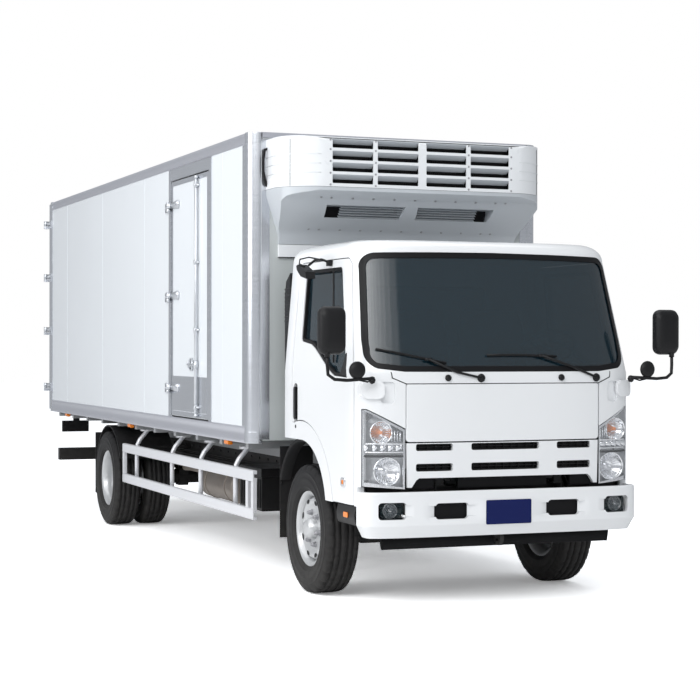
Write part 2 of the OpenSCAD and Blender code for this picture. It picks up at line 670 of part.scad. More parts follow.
// outlines of the cab drawn in by t: from the side, from the front and in plan
function cab_side(t) = concat(
    [[cab_front + t, cab_bottom - 200], [cab_front + t, slope_z]],
    [[cab_front + screen_lean + t - 4, roof_z - 75]],
    [for (i = [0:4]) let (a = 165 - i * 15) [cab_front + screen_lean + 128 + (128 - t) * cos(a), roof_z - 110 + (110 - t) * sin(a)]],
    [[cab_rear - 90, roof_z - t], [cab_rear - 25 - t * 0.7, roof_z - 25 - t * 0.7], [cab_rear - t, roof_z - 90],
        [cab_rear - t, cab_bottom - 200]]);
function cab_half_view(t) = concat([[cab_half - t, cab_bottom - 200], [cab_half - t, belt_z], [cab_top_half - t, roof_z - 135]],
    [for (i = [1:4]) let (a = i * 90 / 4) [cab_top_half - 110 + (110 - t) * cos(a), roof_z - 110 + (110 - t) * sin(a)]]);
function cab_plan(t) = concat([[cab_half - t, cab_rear + 1]],
    [for (i = [0:6]) let (a = i * 90 / 6) [cab_half - corner_r + (corner_r - t) * cos(a), cab_front + corner_r - (corner_r - t) * sin(a)]],
    [for (i = [6:-1:0]) let (a = i * 90 / 6) [-cab_half + corner_r - (corner_r - t) * cos(a), cab_front + corner_r - (corner_r - t) * sin(a)]],
    [[-cab_half + t, cab_rear + 1]]);

module cab_form(t) intersection() {
    along_x(-cab_half - 10, cab_half + 10) polygon(cab_side(t));
    along_y(cab_front - 10, cab_rear + 10) polygon(concat(cab_half_view(t), flipped(cab_half_view(t))));
    along_z(cab_bottom - 200, roof_z + 10) polygon(cab_plan(t));
}

// outline of a cab door from the side, grown by g
function door_outline(g) = concat(
    [[door_front - g, door_bottom - g], [door_front - g, belt_z - 20], [door_front + 178 - g, roof_z - 150 + g],
        [door_front + 215, roof_z - 118 + g], [door_rear - 60, roof_z - 118 + g], [door_rear - 12 + g, roof_z - 160 + g],
        [door_rear + g, belt_z], [door_rear + g, arch_z + 560]],
    arc([arch_y, arch_z], arch_r + lip_w - g, 78, 169, 8),
    [[arch_y - (arch_r + lip_w - g) * cos(11), door_bottom - g]]);
// outline of the window in a cab door; its sill steps down towards the front
function window_outline(g) = [[door_front + 88 - g, 1372 - g], [door_front + 290, 1378 - g], [door_front + 480, 1452 - g],
    [door_front + 700, 1562 - g], [door_front + 925 + g, 1588 - g], [door_front + 925 + g, roof_z - 215],
    [door_front + 890, roof_z - 165 + g], [door_front + 330, roof_z - 165 + g], [door_front + 285 - g, roof_z - 195 + g]];
// half of the windscreen's outline from the front, grown by g
function screen_half(g) = [[0, screen_z0 - g], [648, screen_z0 - g], [866 + g, 1490], [871 + g, 1540], [832 + g, 2035],
    [775, 2118 + g], [0, 2132 + g]];
screen_z0 = 1408;
screen_depth = 95;
rear_window = [-520, 1560, 520, 1960];
lamp_out = 884;
// half of a headlamp's outline from the front, grown by g
function lamp_outline(g) = [[lid_half + 6 - g, 718 - g], [lamp_out + g, 734 - g], [lamp_out + g, 1190 + g], [lid_half + 6 - g, 1072 + g]];
grille_half = 618;
grille_z = [782, lid_bottom - 6];

// the band within d (along Y) behind the cab's front skin
module front_band(y0, d) difference() {
    translate([0, y0, 0]) cab_form(0);
    translate([0, y0 + d, 0]) cab_form(0);
}

// the panel behind the lamps, grille and lid
inner_panel = [cab_front + 75, cab_front + 95];
lid_pin_r = 3;
lid_pin = [cab_front + 4, lid_top + 4];
// places along the lid's top edge of its hinges
lid_hinge_x = [-420, 420];

module lamp_pockets() both_sides() intersection() {
    along_y(cab_front - 20, cab_front + 300) polygon(lamp_outline(seat_gap));
    front_band(-10, 10 + 75);
}

module cab_shell() color(white) {
    shell_skin();
    difference() {
        intersection() {
            cab_form(2);
            block([-cab_half, inner_panel[0], tilt_z + 45], [cab_half, inner_panel[1], dash_top]);
        }
        lamp_pockets();
    }
    for (x = lid_hinge_x) {
        for (e = [-1, 1]) block([x + e * 27 - 6, cab_front, lid_pin[1] - 6], [x + e * 27 + 6, cab_front + 20, lid_top + 20]);
        rod_x(x - 26, x + 26, lid_pin[0], lid_pin[1], lid_pin_r);
    }
}

module shell_skin() difference() {
    cab_form(0);
    cab_form(cab_wall);
    // windscreen
    intersection() {
        along_y(cab_front - 20, cab_front + 700) polygon(concat(screen_half(0), flipped(screen_half(0))));
        front_band(-10, 10 + screen_depth);
    }
    // door openings
    both_sides() along_x(cab_top_half - cab_wall - 60, cab_half + 20) polygon(door_outline(door_gap));
    // rear window
    along_y(cab_rear - cab_wall - 20, cab_rear + 20) polygon(round_rect(rear_window[0], rear_window[1], rear_window[2], rear_window[3], 40));
    // front lid, grille and lamps
    along_y(cab_front - 20, cab_front + cab_wall + 10)
        polygon([[-lid_half - door_gap, cab_bottom - 300], [lid_half + door_gap, cab_bottom - 300],
            [lid_half + door_gap, lid_top + door_gap], [-lid_half - door_gap, lid_top + door_gap]]);
    lamp_pockets();
    for (x = lid_hinge_x) block([x - 21, cab_front - 10, lid_top], [x + 21, cab_front + 14, lid_top + 14]);
    // below the front panel, and the wheel arches
    along_z(cab_bottom - 300, cab_bottom) polygon([[-big, cab_front - 50], [big, cab_front - 50], [big, door_front], [-big, door_front]]);
    rod_x(-cab_half - 50, cab_half + 50, arch_y, arch_z, arch_r);
    block([-cab_half - 50, arch_y, 300], [cab_half + 50, cab_rear + 50, floor_rear_z]);
    block([-cab_half - 50, door_front - 60, 300], [cab_half + 50, cab_rear + 50, door_bottom - door_gap]);
    block([-cab_half + cab_wall - 1, cab_front - 100, 300], [cab_half - cab_wall + 1, cab_rear + 50, cab_bottom]);
}

module cab_glass() color(glass) {
    intersection() {
        along_y(cab_front - 20, cab_front + 700) polygon(concat(screen_half(-seat_gap), flipped(screen_half(-seat_gap))));
        front_band(8, 16);
    }
    along_y(cab_rear - 35, cab_rear - 25) polygon(round_rect(rear_window[0] + seat_gap, rear_window[1] + seat_gap,
        rear_window[2] - seat_gap, rear_window[3] - seat_gap, 40));
}

tunnel_half = 320;
tunnel_top = 1080;
tunnel_front = -765;
floor_half = cab_half - cab_wall - seat_gap;
floor_t = 25;
step_up = -345;

dash_bottom = tunnel_top + 8;
deck_rear = cab_rear - cab_wall - seat_gap;

module cab_floor() color(black) difference() {
    union() {
        // footwell, and the seat deck over the wheels
        block([-floor_half, -780, foot_z], [floor_half, step_up, foot_z + floor_t]);
        block([-floor_half, step_up - floor_t, foot_z], [floor_half, step_up, tunnel_top]);
        block([-floor_half, step_up - floor_t, tunnel_top - floor_t], [floor_half, deck_rear, tunnel_top]);
        // beams under the deck, over the side rails
        both_sides() block([rail_half - 85, step_up - 5, floor_rear_z], [rail_half - 5, deck_rear, tunnel_top - floor_t + 1]);
        // tunnel over the engine
        block([-tunnel_half, tunnel_front, foot_z], [tunnel_half, step_up, tunnel_top]);
        // toe boards up to the dashboard
        both_sides() block([tunnel_half - 5, -780, foot_z], [floor_half, -755, dash_bottom - seat_gap]);
        // lugs round the tilt pins
        both_sides() block([rail_half - 105, tilt_y - 28, tilt_z - 28], [rail_half - 65, -770, tilt_z + 28]);
        // steps below the doors
        both_sides() {
            block([660, -800, 520], [cab_half - 20, -530, 545]);
            block([660, -800, 520], [685, -530, foot_z + 1]);
            block([660, -800, 520], [cab_half - 60, -780, foot_z + 1]);
            block([660, -550, 520], [cab_half - 60, -530, foot_z + 1]);
        }
    }
    block([-tunnel_half + floor_t, tunnel_front + floor_t, foot_z - 50], [tunnel_half - floor_t, cab_rear, tunnel_top - floor_t]);
    both_sides() rod_x(rail_half - 120, rail_half - 50, tilt_y, tilt_z, tilt_pin_r + run_gap);
    both_sides() block([rail_half - 64.7, tilt_y - 60, foot_z - 50], [rail_half + 5, tilt_y + 60, tilt_z + 60]);
}

dash_top = 1385;
module dashboard() color([0.2, 0.21, 0.23]) {
    along_x(-cab_half + cab_wall + 40, cab_half - cab_wall - 40) polygon([[-780, dash_bottom], [-610, dash_bottom], [-520, 1180],
        [-525, 1300], [-600, dash_top], [-860, dash_top - 10], [-860, 1200]]);
    // cowl for the steering column
    bar(steer_hub - 300 * steer_dir, steer_hub - (45 + seat_gap) * steer_dir, 38);
}

steer_hub = [480, -560, 1530];
steer_tilt = 38;         // degrees that the wheel's plane rises towards the screen
steer_dir = [0, sin(steer_tilt), cos(steer_tilt)];
module steering_wheel() color(black) translate(steer_hub) rotate([-steer_tilt, 0, 0]) {
    rotate_extrude($fn = 64) translate([wheel_ring_r - 14, 0]) circle(r = 14, $fn = 24);
    translate([0, 0, -45]) cylinder(h = 50, r = 45, $fn = 48);
    for (a = [90, 210, 330]) rotate([0, 0, a]) translate([30, -14, -22]) cube([wheel_ring_r - 50, 28, 16]);
}

// columns: centre and width of a seat
seat_list = [[480, 500], [-60, 430], [-510, 430]];
module seats() color([0.3, 0.32, 0.35]) for (s = seat_list) {
    x0 = s[0] - s[1] / 2;
    z0 = tunnel_top + seat_gap;
    along_x(x0, x0 + s[1]) polygon([[-325, z0], [150, z0], [150, 1300], [215, 1330], [330, 1780], [300, 1830], [215, 1800],
        [95, 1370], [-300, 1385], [-335, 1350]]);
}

module headlamps() color(silver) both_sides() intersection() {
    along_y(cab_front - 20, cab_front + 300) polygon(lamp_outline(0));
    front_band(0, 75 - seat_gap);
}

// columns: inner and outer edge of a slot, from the middle outwards
slot_x = [[-226, 226], [352, 578]];
slot_z = [[818, 864], [940, 986]];
module grille() color(white) {
    difference() {
        block([-grille_half - 15, cab_front, grille_z[0]], [grille_half + 15, cab_front + 34, grille_z[1]]);
        for (z = slot_z) {
            block([slot_x[0][0], cab_front - 1, z[0]], [slot_x[0][1], cab_front + 40, z[1]]);
            both_sides() block([slot_x[1][0], cab_front - 1, z[0]], [slot_x[1][1], cab_front + 40, z[1]]);
        }
    }
    // stays to the panel behind
    both_sides() block([280, cab_front + 33, grille_z[0] + 95], [330, inner_panel[0] - seat_gap, grille_z[0] + 140]);
}

module front_lid() color(white) difference() {
    union() {
        block([-lid_half, cab_front, lid_bottom], [lid_half, cab_front + 28, lid_top]);
        for (x = lid_hinge_x) rod_x(x - 20, x + 20, lid_pin[0], lid_pin[1], 7);
    }
    for (x = lid_hinge_x) rod_x(x - 22, x + 22, lid_pin[0], lid_pin[1], lid_pin_r + run_gap);
    for (x = lid_hinge_x, e = [-1, 1]) block([x + e * 27 - 7, cab_front - 1, lid_top - 4], [x + e * 27 + 7, cab_front + 30, lid_top + 1]);
}

module door_skin(outline_g) intersection() {
    difference() {
        cab_form(0);
        cab_form(cab_wall);
    }
    along_x(cab_top_half - cab_wall - 60, cab_half + 20) polygon(door_outline(outline_g));
}

module cab_door() {
    difference() {
        door_skin(0);
        along_x(cab_top_half - cab_wall - 80, cab_half + 20) polygon(window_outline(0));
    }
    // outside handle
    block([cab_half - 2, 172, 1086], [cab_half + 14, 212, 1304]);
}
module cab_door_left() color(white) cab_door();
module cab_door_right() color(white) mirror([1, 0, 0]) cab_door();

module door_glass() intersection() {
    difference() {
        cab_form(cab_wall / 2 - 4);
        cab_form(cab_wall / 2 + 4);
    }
    along_x(cab_top_half - cab_wall - 60, cab_half + 20) polygon(window_outline(-seat_gap));
}
module door_glass_left() color(glass) door_glass();
module door_glass_right() color(glass) mirror([1, 0, 0]) door_glass();

mirror_y = [-1000, -930];
module mirrors() color(black) both_sides() {
    x1 = mirror_half;
    x0 = mirror_half - mirror_w;
    // main head
    along_y(mirror_y[0], mirror_y[1]) polygon(round_rect(x0, 1510, x1, 1790, 30));
    // boss on the cab's corner, and the arm up to the head
    difference() {
        union() {
            block([770, cab_front - 8, 1260], [872, cab_front + 90, 1345]);
            bar([858, cab_front - 2, 1335], [858, cab_front - 2, 1375], 14);
            bar([858, cab_front - 2, 1370], [x1 - 50, cab_front - 2, 1370], 11);
        }
        cab_form(-seat_gap);
    }
    bar([x1 - 50, cab_front - 2, 1368], [x1 - 50, cab_front - 2, 1520], 11);
}

// each wiper from the front: pivot and grip of the arm, then inner end and tip of the blade
wiper_gear = [[[-165, 1371], [-500, 1484], [-387, 1461], [-800, 1546]],
    [[622, 1371], [250, 1505], [353, 1501], [-114, 1508]]];

// the place d ahead of the cab's front face at one point seen from the front
function ahead(p, d) = [p[0], cab_front + max(p[1] - slope_z, 0) * screen_lean / (roof_z - slope_z) - d, p[1]];

module wipers() color(black) for (w = wiper_gear) {
    rod_y(w[0][0], cab_front - 16, cab_front - seat_gap, w[0][1], 16);
    bar(ahead(w[0], 11), ahead(w[1], 17), 7);
    bar(ahead(w[2], 11), ahead(w[3], 11), 6);
}

module air_intake_duct() color(black) {
    x0 = cab_half - 50;
    mirror([1, 0, 0]) along_x(x0 - 130, x0) polygon([[cab_rear + seat_gap, 1180], [cab_rear + 105, 1180], [cab_rear + 105, 1900],
        [cab_rear + 80, 1990], [cab_rear + seat_gap, 2040]]);
}

// ---- wheels ----

// half section of a tyre: distance from the axle and along it
function tyre_section() = let (h = tyre_w / 2, b = bead_r + seat_gap) concat(
    [[b, rim_w / 2 - 9], [flange_r + 1, rim_w / 2 - 8.5], [flange_r + 4, rim_w / 2 + 6], [flange_r + 26, h - 9],
        [flange_r + (tyre_r - flange_r) * 0.42, h], [tyre_r - 50, h - 3], [tyre_r - 18, h - 16], [tyre_r - 4, h - 34], [tyre_r, h - 60]]);
module tyre() rotate([0, 90, 0]) rotate_extrude($fn = 96)
    polygon(concat(tyre_section(), [for (p = [for (i = [len(tyre_section()) - 1:-1:0]) tyre_section()[i]]) [p[0], -p[1]]]));

module barrel() rotate([0, 90, 0]) rotate_extrude($fn = 96) polygon([[bead_r - 14, -rim_w / 2], [flange_r, -rim_w / 2],
    [flange_r, -rim_w / 2 + 8], [bead_r, -rim_w / 2 + 9], [bead_r, rim_w / 2 - 9], [flange_r, rim_w / 2 - 8],
    [flange_r, rim_w / 2], [bead_r - 14, rim_w / 2]]);
// a dished disc from the hub out to the barrel: x of its face at hub, shoulder and barrel
module disc(hub, shoulder, edge) difference() {
    rotate([0, 90, 0]) rotate_extrude($fn = 96) polygon([[60, hub - 12], [60, hub], [110, hub],
        [150, shoulder], [bead_r - 13, edge], [bead_r - 13, edge - 12], [148, shoulder - 12], [108, hub - 12]]);
    for (i = [0:7]) rotate([i * 45 + 22.5, 0, 0]) translate([-200, 0, 172]) rotate([0, 90, 0]) cylinder(h = 400, r = 17, $fn = 24);
}
module hub(x0, x1, r, bore) difference() {
    rod_x(x0, x1, 0, 0, r);
    rod_x(x0 - 1, x1 - 24, 0, 0, bore + run_gap);
}

module front_wheel_rim() {
    barrel();
    disc(58, 46, 22);
    hub(-18, 82, 72, spindle_r);
}
module rear_wheel_rims() {
    half = twin_pitch / 2;
    for (e = [-1, 1]) translate([e * half, 0, 0]) barrel();
    for (e = [0, 1]) mirror([e, 0, 0]) disc(13, 14, half - rim_w / 2 + 22);
    hub(-115, 92, 92, 44);
}

module front_left_tyre() color(black) translate([front_tyre_x, 0, tyre_r]) tyre();
module front_right_tyre() color(black) translate([-front_tyre_x, 0, tyre_r]) tyre();
module rear_tyres() for (x = [rear_tyre_x, rear_tyre_x - twin_pitch]) translate([x, wheelbase, tyre_r]) tyre();
module rear_left_tyres() color(black) rear_tyres();
module rear_right_tyres() color(black) mirror([1, 0, 0]) rear_tyres();
module front_left_rim() color(silver) translate([front_tyre_x, 0, tyre_r]) front_wheel_rim();
module front_right_rim() color(silver) mirror([1, 0, 0]) translate([front_tyre_x, 0, tyre_r]) front_wheel_rim();
module rear_left_rims() color(silver) translate([rear_tyre_x - twin_pitch / 2, wheelbase, tyre_r]) rear_wheel_rims();
module rear_right_rims() color(silver) mirror([1, 0, 0]) translate([rear_tyre_x - twin_pitch / 2, wheelbase, tyre_r]) rear_wheel_rims();

in_frame() chassis_frame();
in_frame() engine_block();
in_frame() radiator();
in_frame() front_axle();
in_frame() rear_axle();
in_frame() leaf_springs();
in_frame() drive_shaft();
in_frame() fuel_tank();
in_frame() battery_box();
in_frame() exhaust_silencer();
in_frame() front_bumper();
in_frame() lamps();
in_frame() number_plate();
in_frame() mudguards();
in_frame() side_guards();
in_frame() rear_underrun_bar();
in_frame() box_floor();
in_frame() box_front_wall();
in_frame() box_left_wall();
in_frame() box_right_wall();
in_frame() box_roof();
in_frame() box_rear_frame();
in_frame() box_trim();
in_frame() refrigeration_unit();
in_frame() refrigeration_base();
in_frame() cab_shell();
in_frame() cab_floor();
in_frame() cab_glass();
in_frame() dashboard();
in_frame() seats();
in_frame() headlamps();
in_frame() grille();
in_frame() mirrors();
in_frame() wipers();
in_frame() air_intake_duct();
in_frame() front_lid();
in_frame() cab_door_left();
in_frame() cab_door_right();
in_frame() door_glass_left();
in_frame() door_glass_right();
in_frame() steering_wheel();
in_frame() rear_door_left();
in_frame() rear_door_right();
in_frame() side_door();
in_frame() knuckle_left();
in_frame() knuckle_right();
in_frame() tie_rod();
in_frame() front_left_tyre();
in_frame() front_right_tyre();
in_frame() rear_left_tyres();
in_frame() rear_right_tyres();
in_frame() front_left_rim();
in_frame() front_right_rim();
in_frame() rear_left_rims();
in_frame() rear_right_rims();
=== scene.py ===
import math
import bmesh
import bpy
from mathutils import Matrix, Vector


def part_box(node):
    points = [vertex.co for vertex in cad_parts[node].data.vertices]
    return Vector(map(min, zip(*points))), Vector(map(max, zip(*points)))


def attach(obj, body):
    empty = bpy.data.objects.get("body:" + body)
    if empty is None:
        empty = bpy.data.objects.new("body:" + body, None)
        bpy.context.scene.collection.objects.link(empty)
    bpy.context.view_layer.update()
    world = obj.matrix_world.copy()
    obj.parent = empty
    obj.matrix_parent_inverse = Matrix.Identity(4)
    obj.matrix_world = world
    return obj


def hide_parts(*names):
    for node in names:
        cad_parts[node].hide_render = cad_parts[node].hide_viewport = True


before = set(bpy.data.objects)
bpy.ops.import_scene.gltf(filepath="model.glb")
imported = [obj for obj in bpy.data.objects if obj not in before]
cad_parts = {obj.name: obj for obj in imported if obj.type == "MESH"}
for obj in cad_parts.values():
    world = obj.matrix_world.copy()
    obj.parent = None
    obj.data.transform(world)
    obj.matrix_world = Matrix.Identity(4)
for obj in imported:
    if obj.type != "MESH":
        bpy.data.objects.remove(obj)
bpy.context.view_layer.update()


# ---------------------------------------------------------------- camera and studio
# The truck stands on a plain white studio floor under soft lamps. Places along the truck are
# measured from the front axle, as a chassis drawing gives them, and moved to the frame as made.

tyre_low, tyre_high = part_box("front_left_tyre")
axle_y = (tyre_low[1] + tyre_high[1]) / 2
tyre_r = (tyre_high[2] - tyre_low[2]) / 2
wheelbase = (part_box("rear_left_tyres")[0][1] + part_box("rear_left_tyres")[1][1]) / 2 - axle_y

camera = bpy.data.objects.new("camera", bpy.data.cameras.new("camera"))
bpy.context.scene.collection.objects.link(camera)
camera.location = (-4.739, -10.473 + axle_y, 1.558)
camera.rotation_mode = "XYZ"
yaw, pitch, roll = math.radians(21.298), math.radians(-0.338), math.radians(-0.112)
camera.rotation_euler = (Matrix.Rotation(-yaw, 3, "Z") @ Matrix.Rotation(math.pi / 2 + pitch, 3, "X")
                         @ Matrix.Rotation(-roll, 3, "Z")).to_euler()
camera.data.lens = 90.82
camera.data.sensor_width = 36
camera.data.shift_x = 0.0066
camera.data.shift_y = 0.0097
camera.data.clip_end = 200
bpy.context.scene.camera = camera
bpy.context.scene.view_settings.view_transform = "Standard"


def lamp(name, place, target, width, height, power):
    light = bpy.data.lights.new(name, "AREA")
    light.shape = "RECTANGLE"
    light.size = width
    light.size_y = height
    light.energy = power
    holder = bpy.data.objects.new(name, light)
    bpy.context.scene.collection.objects.link(holder)
    holder.location = place
    holder.rotation_euler = (Vector(target) - Vector(place)).to_track_quat("-Z", "Y").to_euler()
    return holder


lamp("overhead_lamp", (-1.5, -1.0, 8.5), (0, 0, 1), 8, 12, 360)
lamp("side_lamp", (-10, -3.0, 4.5), (0, 0, 1.4), 6, 5, 330)
for i in range(9):
    turn = math.radians(-62 + i * 7.5)
    lamp(f"front_lamp_{i}", (9.5 * math.sin(turn), -4 - 9.5 * math.cos(turn), 7.2), (0, -4, 1.7), 1.26, 5.0,
         112 - i * 12)

world = bpy.data.worlds.new("studio")
bpy.context.scene.world = world
world.use_nodes = True
sky = world.node_tree.nodes
sky_links = world.node_tree.links
sky["Background"].inputs["Color"].default_value = (0.93, 0.96, 1.0, 1)
sky["Background"].inputs["Strength"].default_value = 0.50
backdrop = sky.new("ShaderNodeBackground")
backdrop.inputs["Color"].default_value = (1, 1, 1, 1)
path = sky.new("ShaderNodeLightPath")
seen = sky.new("ShaderNodeMath")
seen.operation = "MAXIMUM"
sky_links.new(path.outputs["Is Camera Ray"], seen.inputs[0])
sky_links.new(path.outputs["Is Transmission Ray"], seen.inputs[1])
mixed = sky.new("ShaderNodeMixShader")
sky_links.new(seen.outputs[0], mixed.inputs[0])
sky_links.new(sky["Background"].outputs[0], mixed.inputs[1])
sky_links.new(backdrop.outputs[0], mixed.inputs[2])
sky_links.new(mixed.outputs[0], sky["World Output"].inputs["Surface"])

floor_mesh = bpy.data.meshes.new("floor")
floor_mesh.from_pydata([(-60, -60, 0), (60, -60, 0), (60, 60, 0), (-60, 60, 0)], [], [(0, 1, 2, 3)])
floor = bpy.data.objects.new("floor", floor_mesh)
bpy.context.scene.collection.objects.link(floor)
floor_paint = bpy.data.materials.new("floor_paint")
floor_paint.use_nodes = True
floor_nodes = floor_paint.node_tree.nodes
floor_links = floor_paint.node_tree.links
floor_nodes["Principled BSDF"].inputs["Base Color"].default_value = (0.94, 0.94, 0.94, 1)
floor_nodes["Principled BSDF"].inputs["Roughness"].default_value = 0.9
floor_nodes["Principled BSDF"].inputs["Specular IOR Level"].default_value = 0.1
glow = floor_nodes.new("ShaderNodeEmission")
floor_path = floor_nodes.new("ShaderNodeLightPath")
lift = floor_nodes.new("ShaderNodeMath")
lift.operation = "MULTIPLY"
lift.inputs[1].default_value = 0.20
floor_links.new(floor_path.outputs["Is Camera Ray"], lift.inputs[0])
floor_links.new(lift.outputs[0], glow.inputs["Strength"])
chalk = floor_nodes.new("ShaderNodeBsdfDiffuse")
floor_links.new(floor_path.outputs["Is Camera Ray"], chalk.inputs["Color"])
bright = floor_nodes.new("ShaderNodeAddShader")
floor_links.new(floor_nodes["Principled BSDF"].outputs[0], bright.inputs[0])
floor_links.new(chalk.outputs[0], bright.inputs[1])
both = floor_nodes.new("ShaderNodeAddShader")
floor_links.new(bright.outputs[0], both.inputs[0])
floor_links.new(glow.outputs[0], both.inputs[1])
floor_links.new(both.outputs[0], floor_nodes["Material Output"].inputs["Surface"])
floor_mesh.materials.append(floor_paint)


# ---------------------------------------------------------------- chassis frame
# A ladder of two pressed channels with cross members, painted satin black and dusty from the road. The axles,
# knuckles, tie rod, shaft, underrun bar and tilt brackets bolted to it have the same paint.

def finish(name, colour, rough=0.4, metal=0.0, vary=0.06, patch=3.0, bump=0.0, grain=300.0, coat=0.0,
           alpha=1.0, stretch=(1, 1, 1), dust=0.0, dust_top=0.9, spec=0.5):
    """A surface whose colour and roughness drift over patches, with a fine grain; dust gathers low down."""
    made = bpy.data.materials.new(name)
    made.use_nodes = True
    nodes = made.node_tree.nodes
    links = made.node_tree.links
    body = nodes["Principled BSDF"]
    place = nodes.new("ShaderNodeTexCoord").outputs["Object"]
    scaled = nodes.new("ShaderNodeMapping")
    scaled.inputs["Scale"].default_value = stretch
    links.new(place, scaled.inputs["Vector"])
    cloud = nodes.new("ShaderNodeTexNoise")
    cloud.inputs["Scale"].default_value = patch
    cloud.inputs["Detail"].default_value = 5
    links.new(scaled.outputs[0], cloud.inputs["Vector"])
    tint = nodes.new("ShaderNodeMix")
    tint.data_type = "RGBA"
    tint.inputs["A"].default_value = (*[min(c * (1 - vary), 1) for c in colour], 1)
    tint.inputs["B"].default_value = (*[min(c * (1 + vary), 1) for c in colour], 1)
    links.new(cloud.outputs["Fac"], tint.inputs["Factor"])
    colour_out = tint.outputs["Result"]
    if dust:
        split = nodes.new("ShaderNodeSeparateXYZ")
        links.new(place, split.inputs[0])
        low = nodes.new("ShaderNodeMapRange")
        low.inputs["From Min"].default_value = dust_top
        low.inputs["From Max"].default_value = 0.1
        low.inputs["To Max"].default_value = dust
        links.new(split.outputs["Z"], low.inputs["Value"])
        speckle = nodes.new("ShaderNodeTexNoise")
        speckle.inputs["Scale"].default_value = 22
        speckle.inputs["Detail"].default_value = 8
        links.new(place, speckle.inputs["Vector"])
        amount = nodes.new("ShaderNodeMath")
        amount.operation = "MULTIPLY"
        links.new(low.outputs[0], amount.inputs[0])
        links.new(speckle.outputs["Fac"], amount.inputs[1])
        dusty = nodes.new("ShaderNodeMix")
        dusty.data_type = "RGBA"
        dusty.inputs["B"].default_value = (0.30, 0.28, 0.25, 1)
        links.new(amount.outputs[0], dusty.inputs["Factor"])
        links.new(colour_out, dusty.inputs["A"])
        colour_out = dusty.outputs["Result"]
    links.new(colour_out, body.inputs["Base Color"])
    sheen = nodes.new("ShaderNodeMapRange")
    sheen.inputs["To Min"].default_value = rough * 0.8
    sheen.inputs["To Max"].default_value = min(rough * 1.25, 1)
    links.new(cloud.outputs["Fac"], sheen.inputs["Value"])
    links.new(sheen.outputs[0], body.inputs["Roughness"])
    body.inputs["Metallic"].default_value = metal
    body.inputs["Coat Weight"].default_value = coat
    body.inputs["Coat Roughness"].default_value = 0.04
    body.inputs["Alpha"].default_value = alpha
    body.inputs["Specular IOR Level"].default_value = spec
    if bump:
        fine = nodes.new("ShaderNodeTexNoise")
        fine.inputs["Scale"].default_value = grain
        fine.inputs["Detail"].default_value = 3
        links.new(scaled.outputs[0], fine.inputs["Vector"])
        raised = nodes.new("ShaderNodeBump")
        raised.inputs["Strength"].default_value = bump
        raised.inputs["Distance"].default_value = 0.001
        links.new(fine.outputs["Fac"], raised.inputs["Height"])
        links.new(raised.outputs[0], body.inputs["Normal"])
    return made


def dress(node, *looks):
    """Gives a made node its finish."""
    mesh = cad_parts[node].data
    mesh.materials.clear()
    for look in looks:
        mesh.materials.append(look)


def piece(name, mesh, look, body, stands_for=(), smooth=True):
    """One visible piece, from a mesh measured from the front axle."""
    mesh.transform(Matrix.Translation((0, axle_y, 0)))
    made = bpy.data.objects.new(name, mesh)
    bpy.context.scene.collection.objects.link(made)
    for one in (look if isinstance(look, (list, tuple)) else [look]):
        mesh.materials.append(one)
    if smooth:
        mesh.polygons.foreach_set("use_smooth", [True] * len(mesh.polygons))
    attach(made, body)
    if stands_for:
        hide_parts(*stands_for)
    return made


def crisp(made, width=0.002, angle=35, segments=2):
    """Rounds the sharp edges of a made piece and keeps its flats flat."""
    edge = made.modifiers.new("edges", "BEVEL")
    edge.width = width
    edge.segments = segments
    edge.limit_method = "ANGLE"
    edge.angle_limit = math.radians(angle)
    edge.use_clamp_overlap = True
    edge.harden_normals = True
    return made


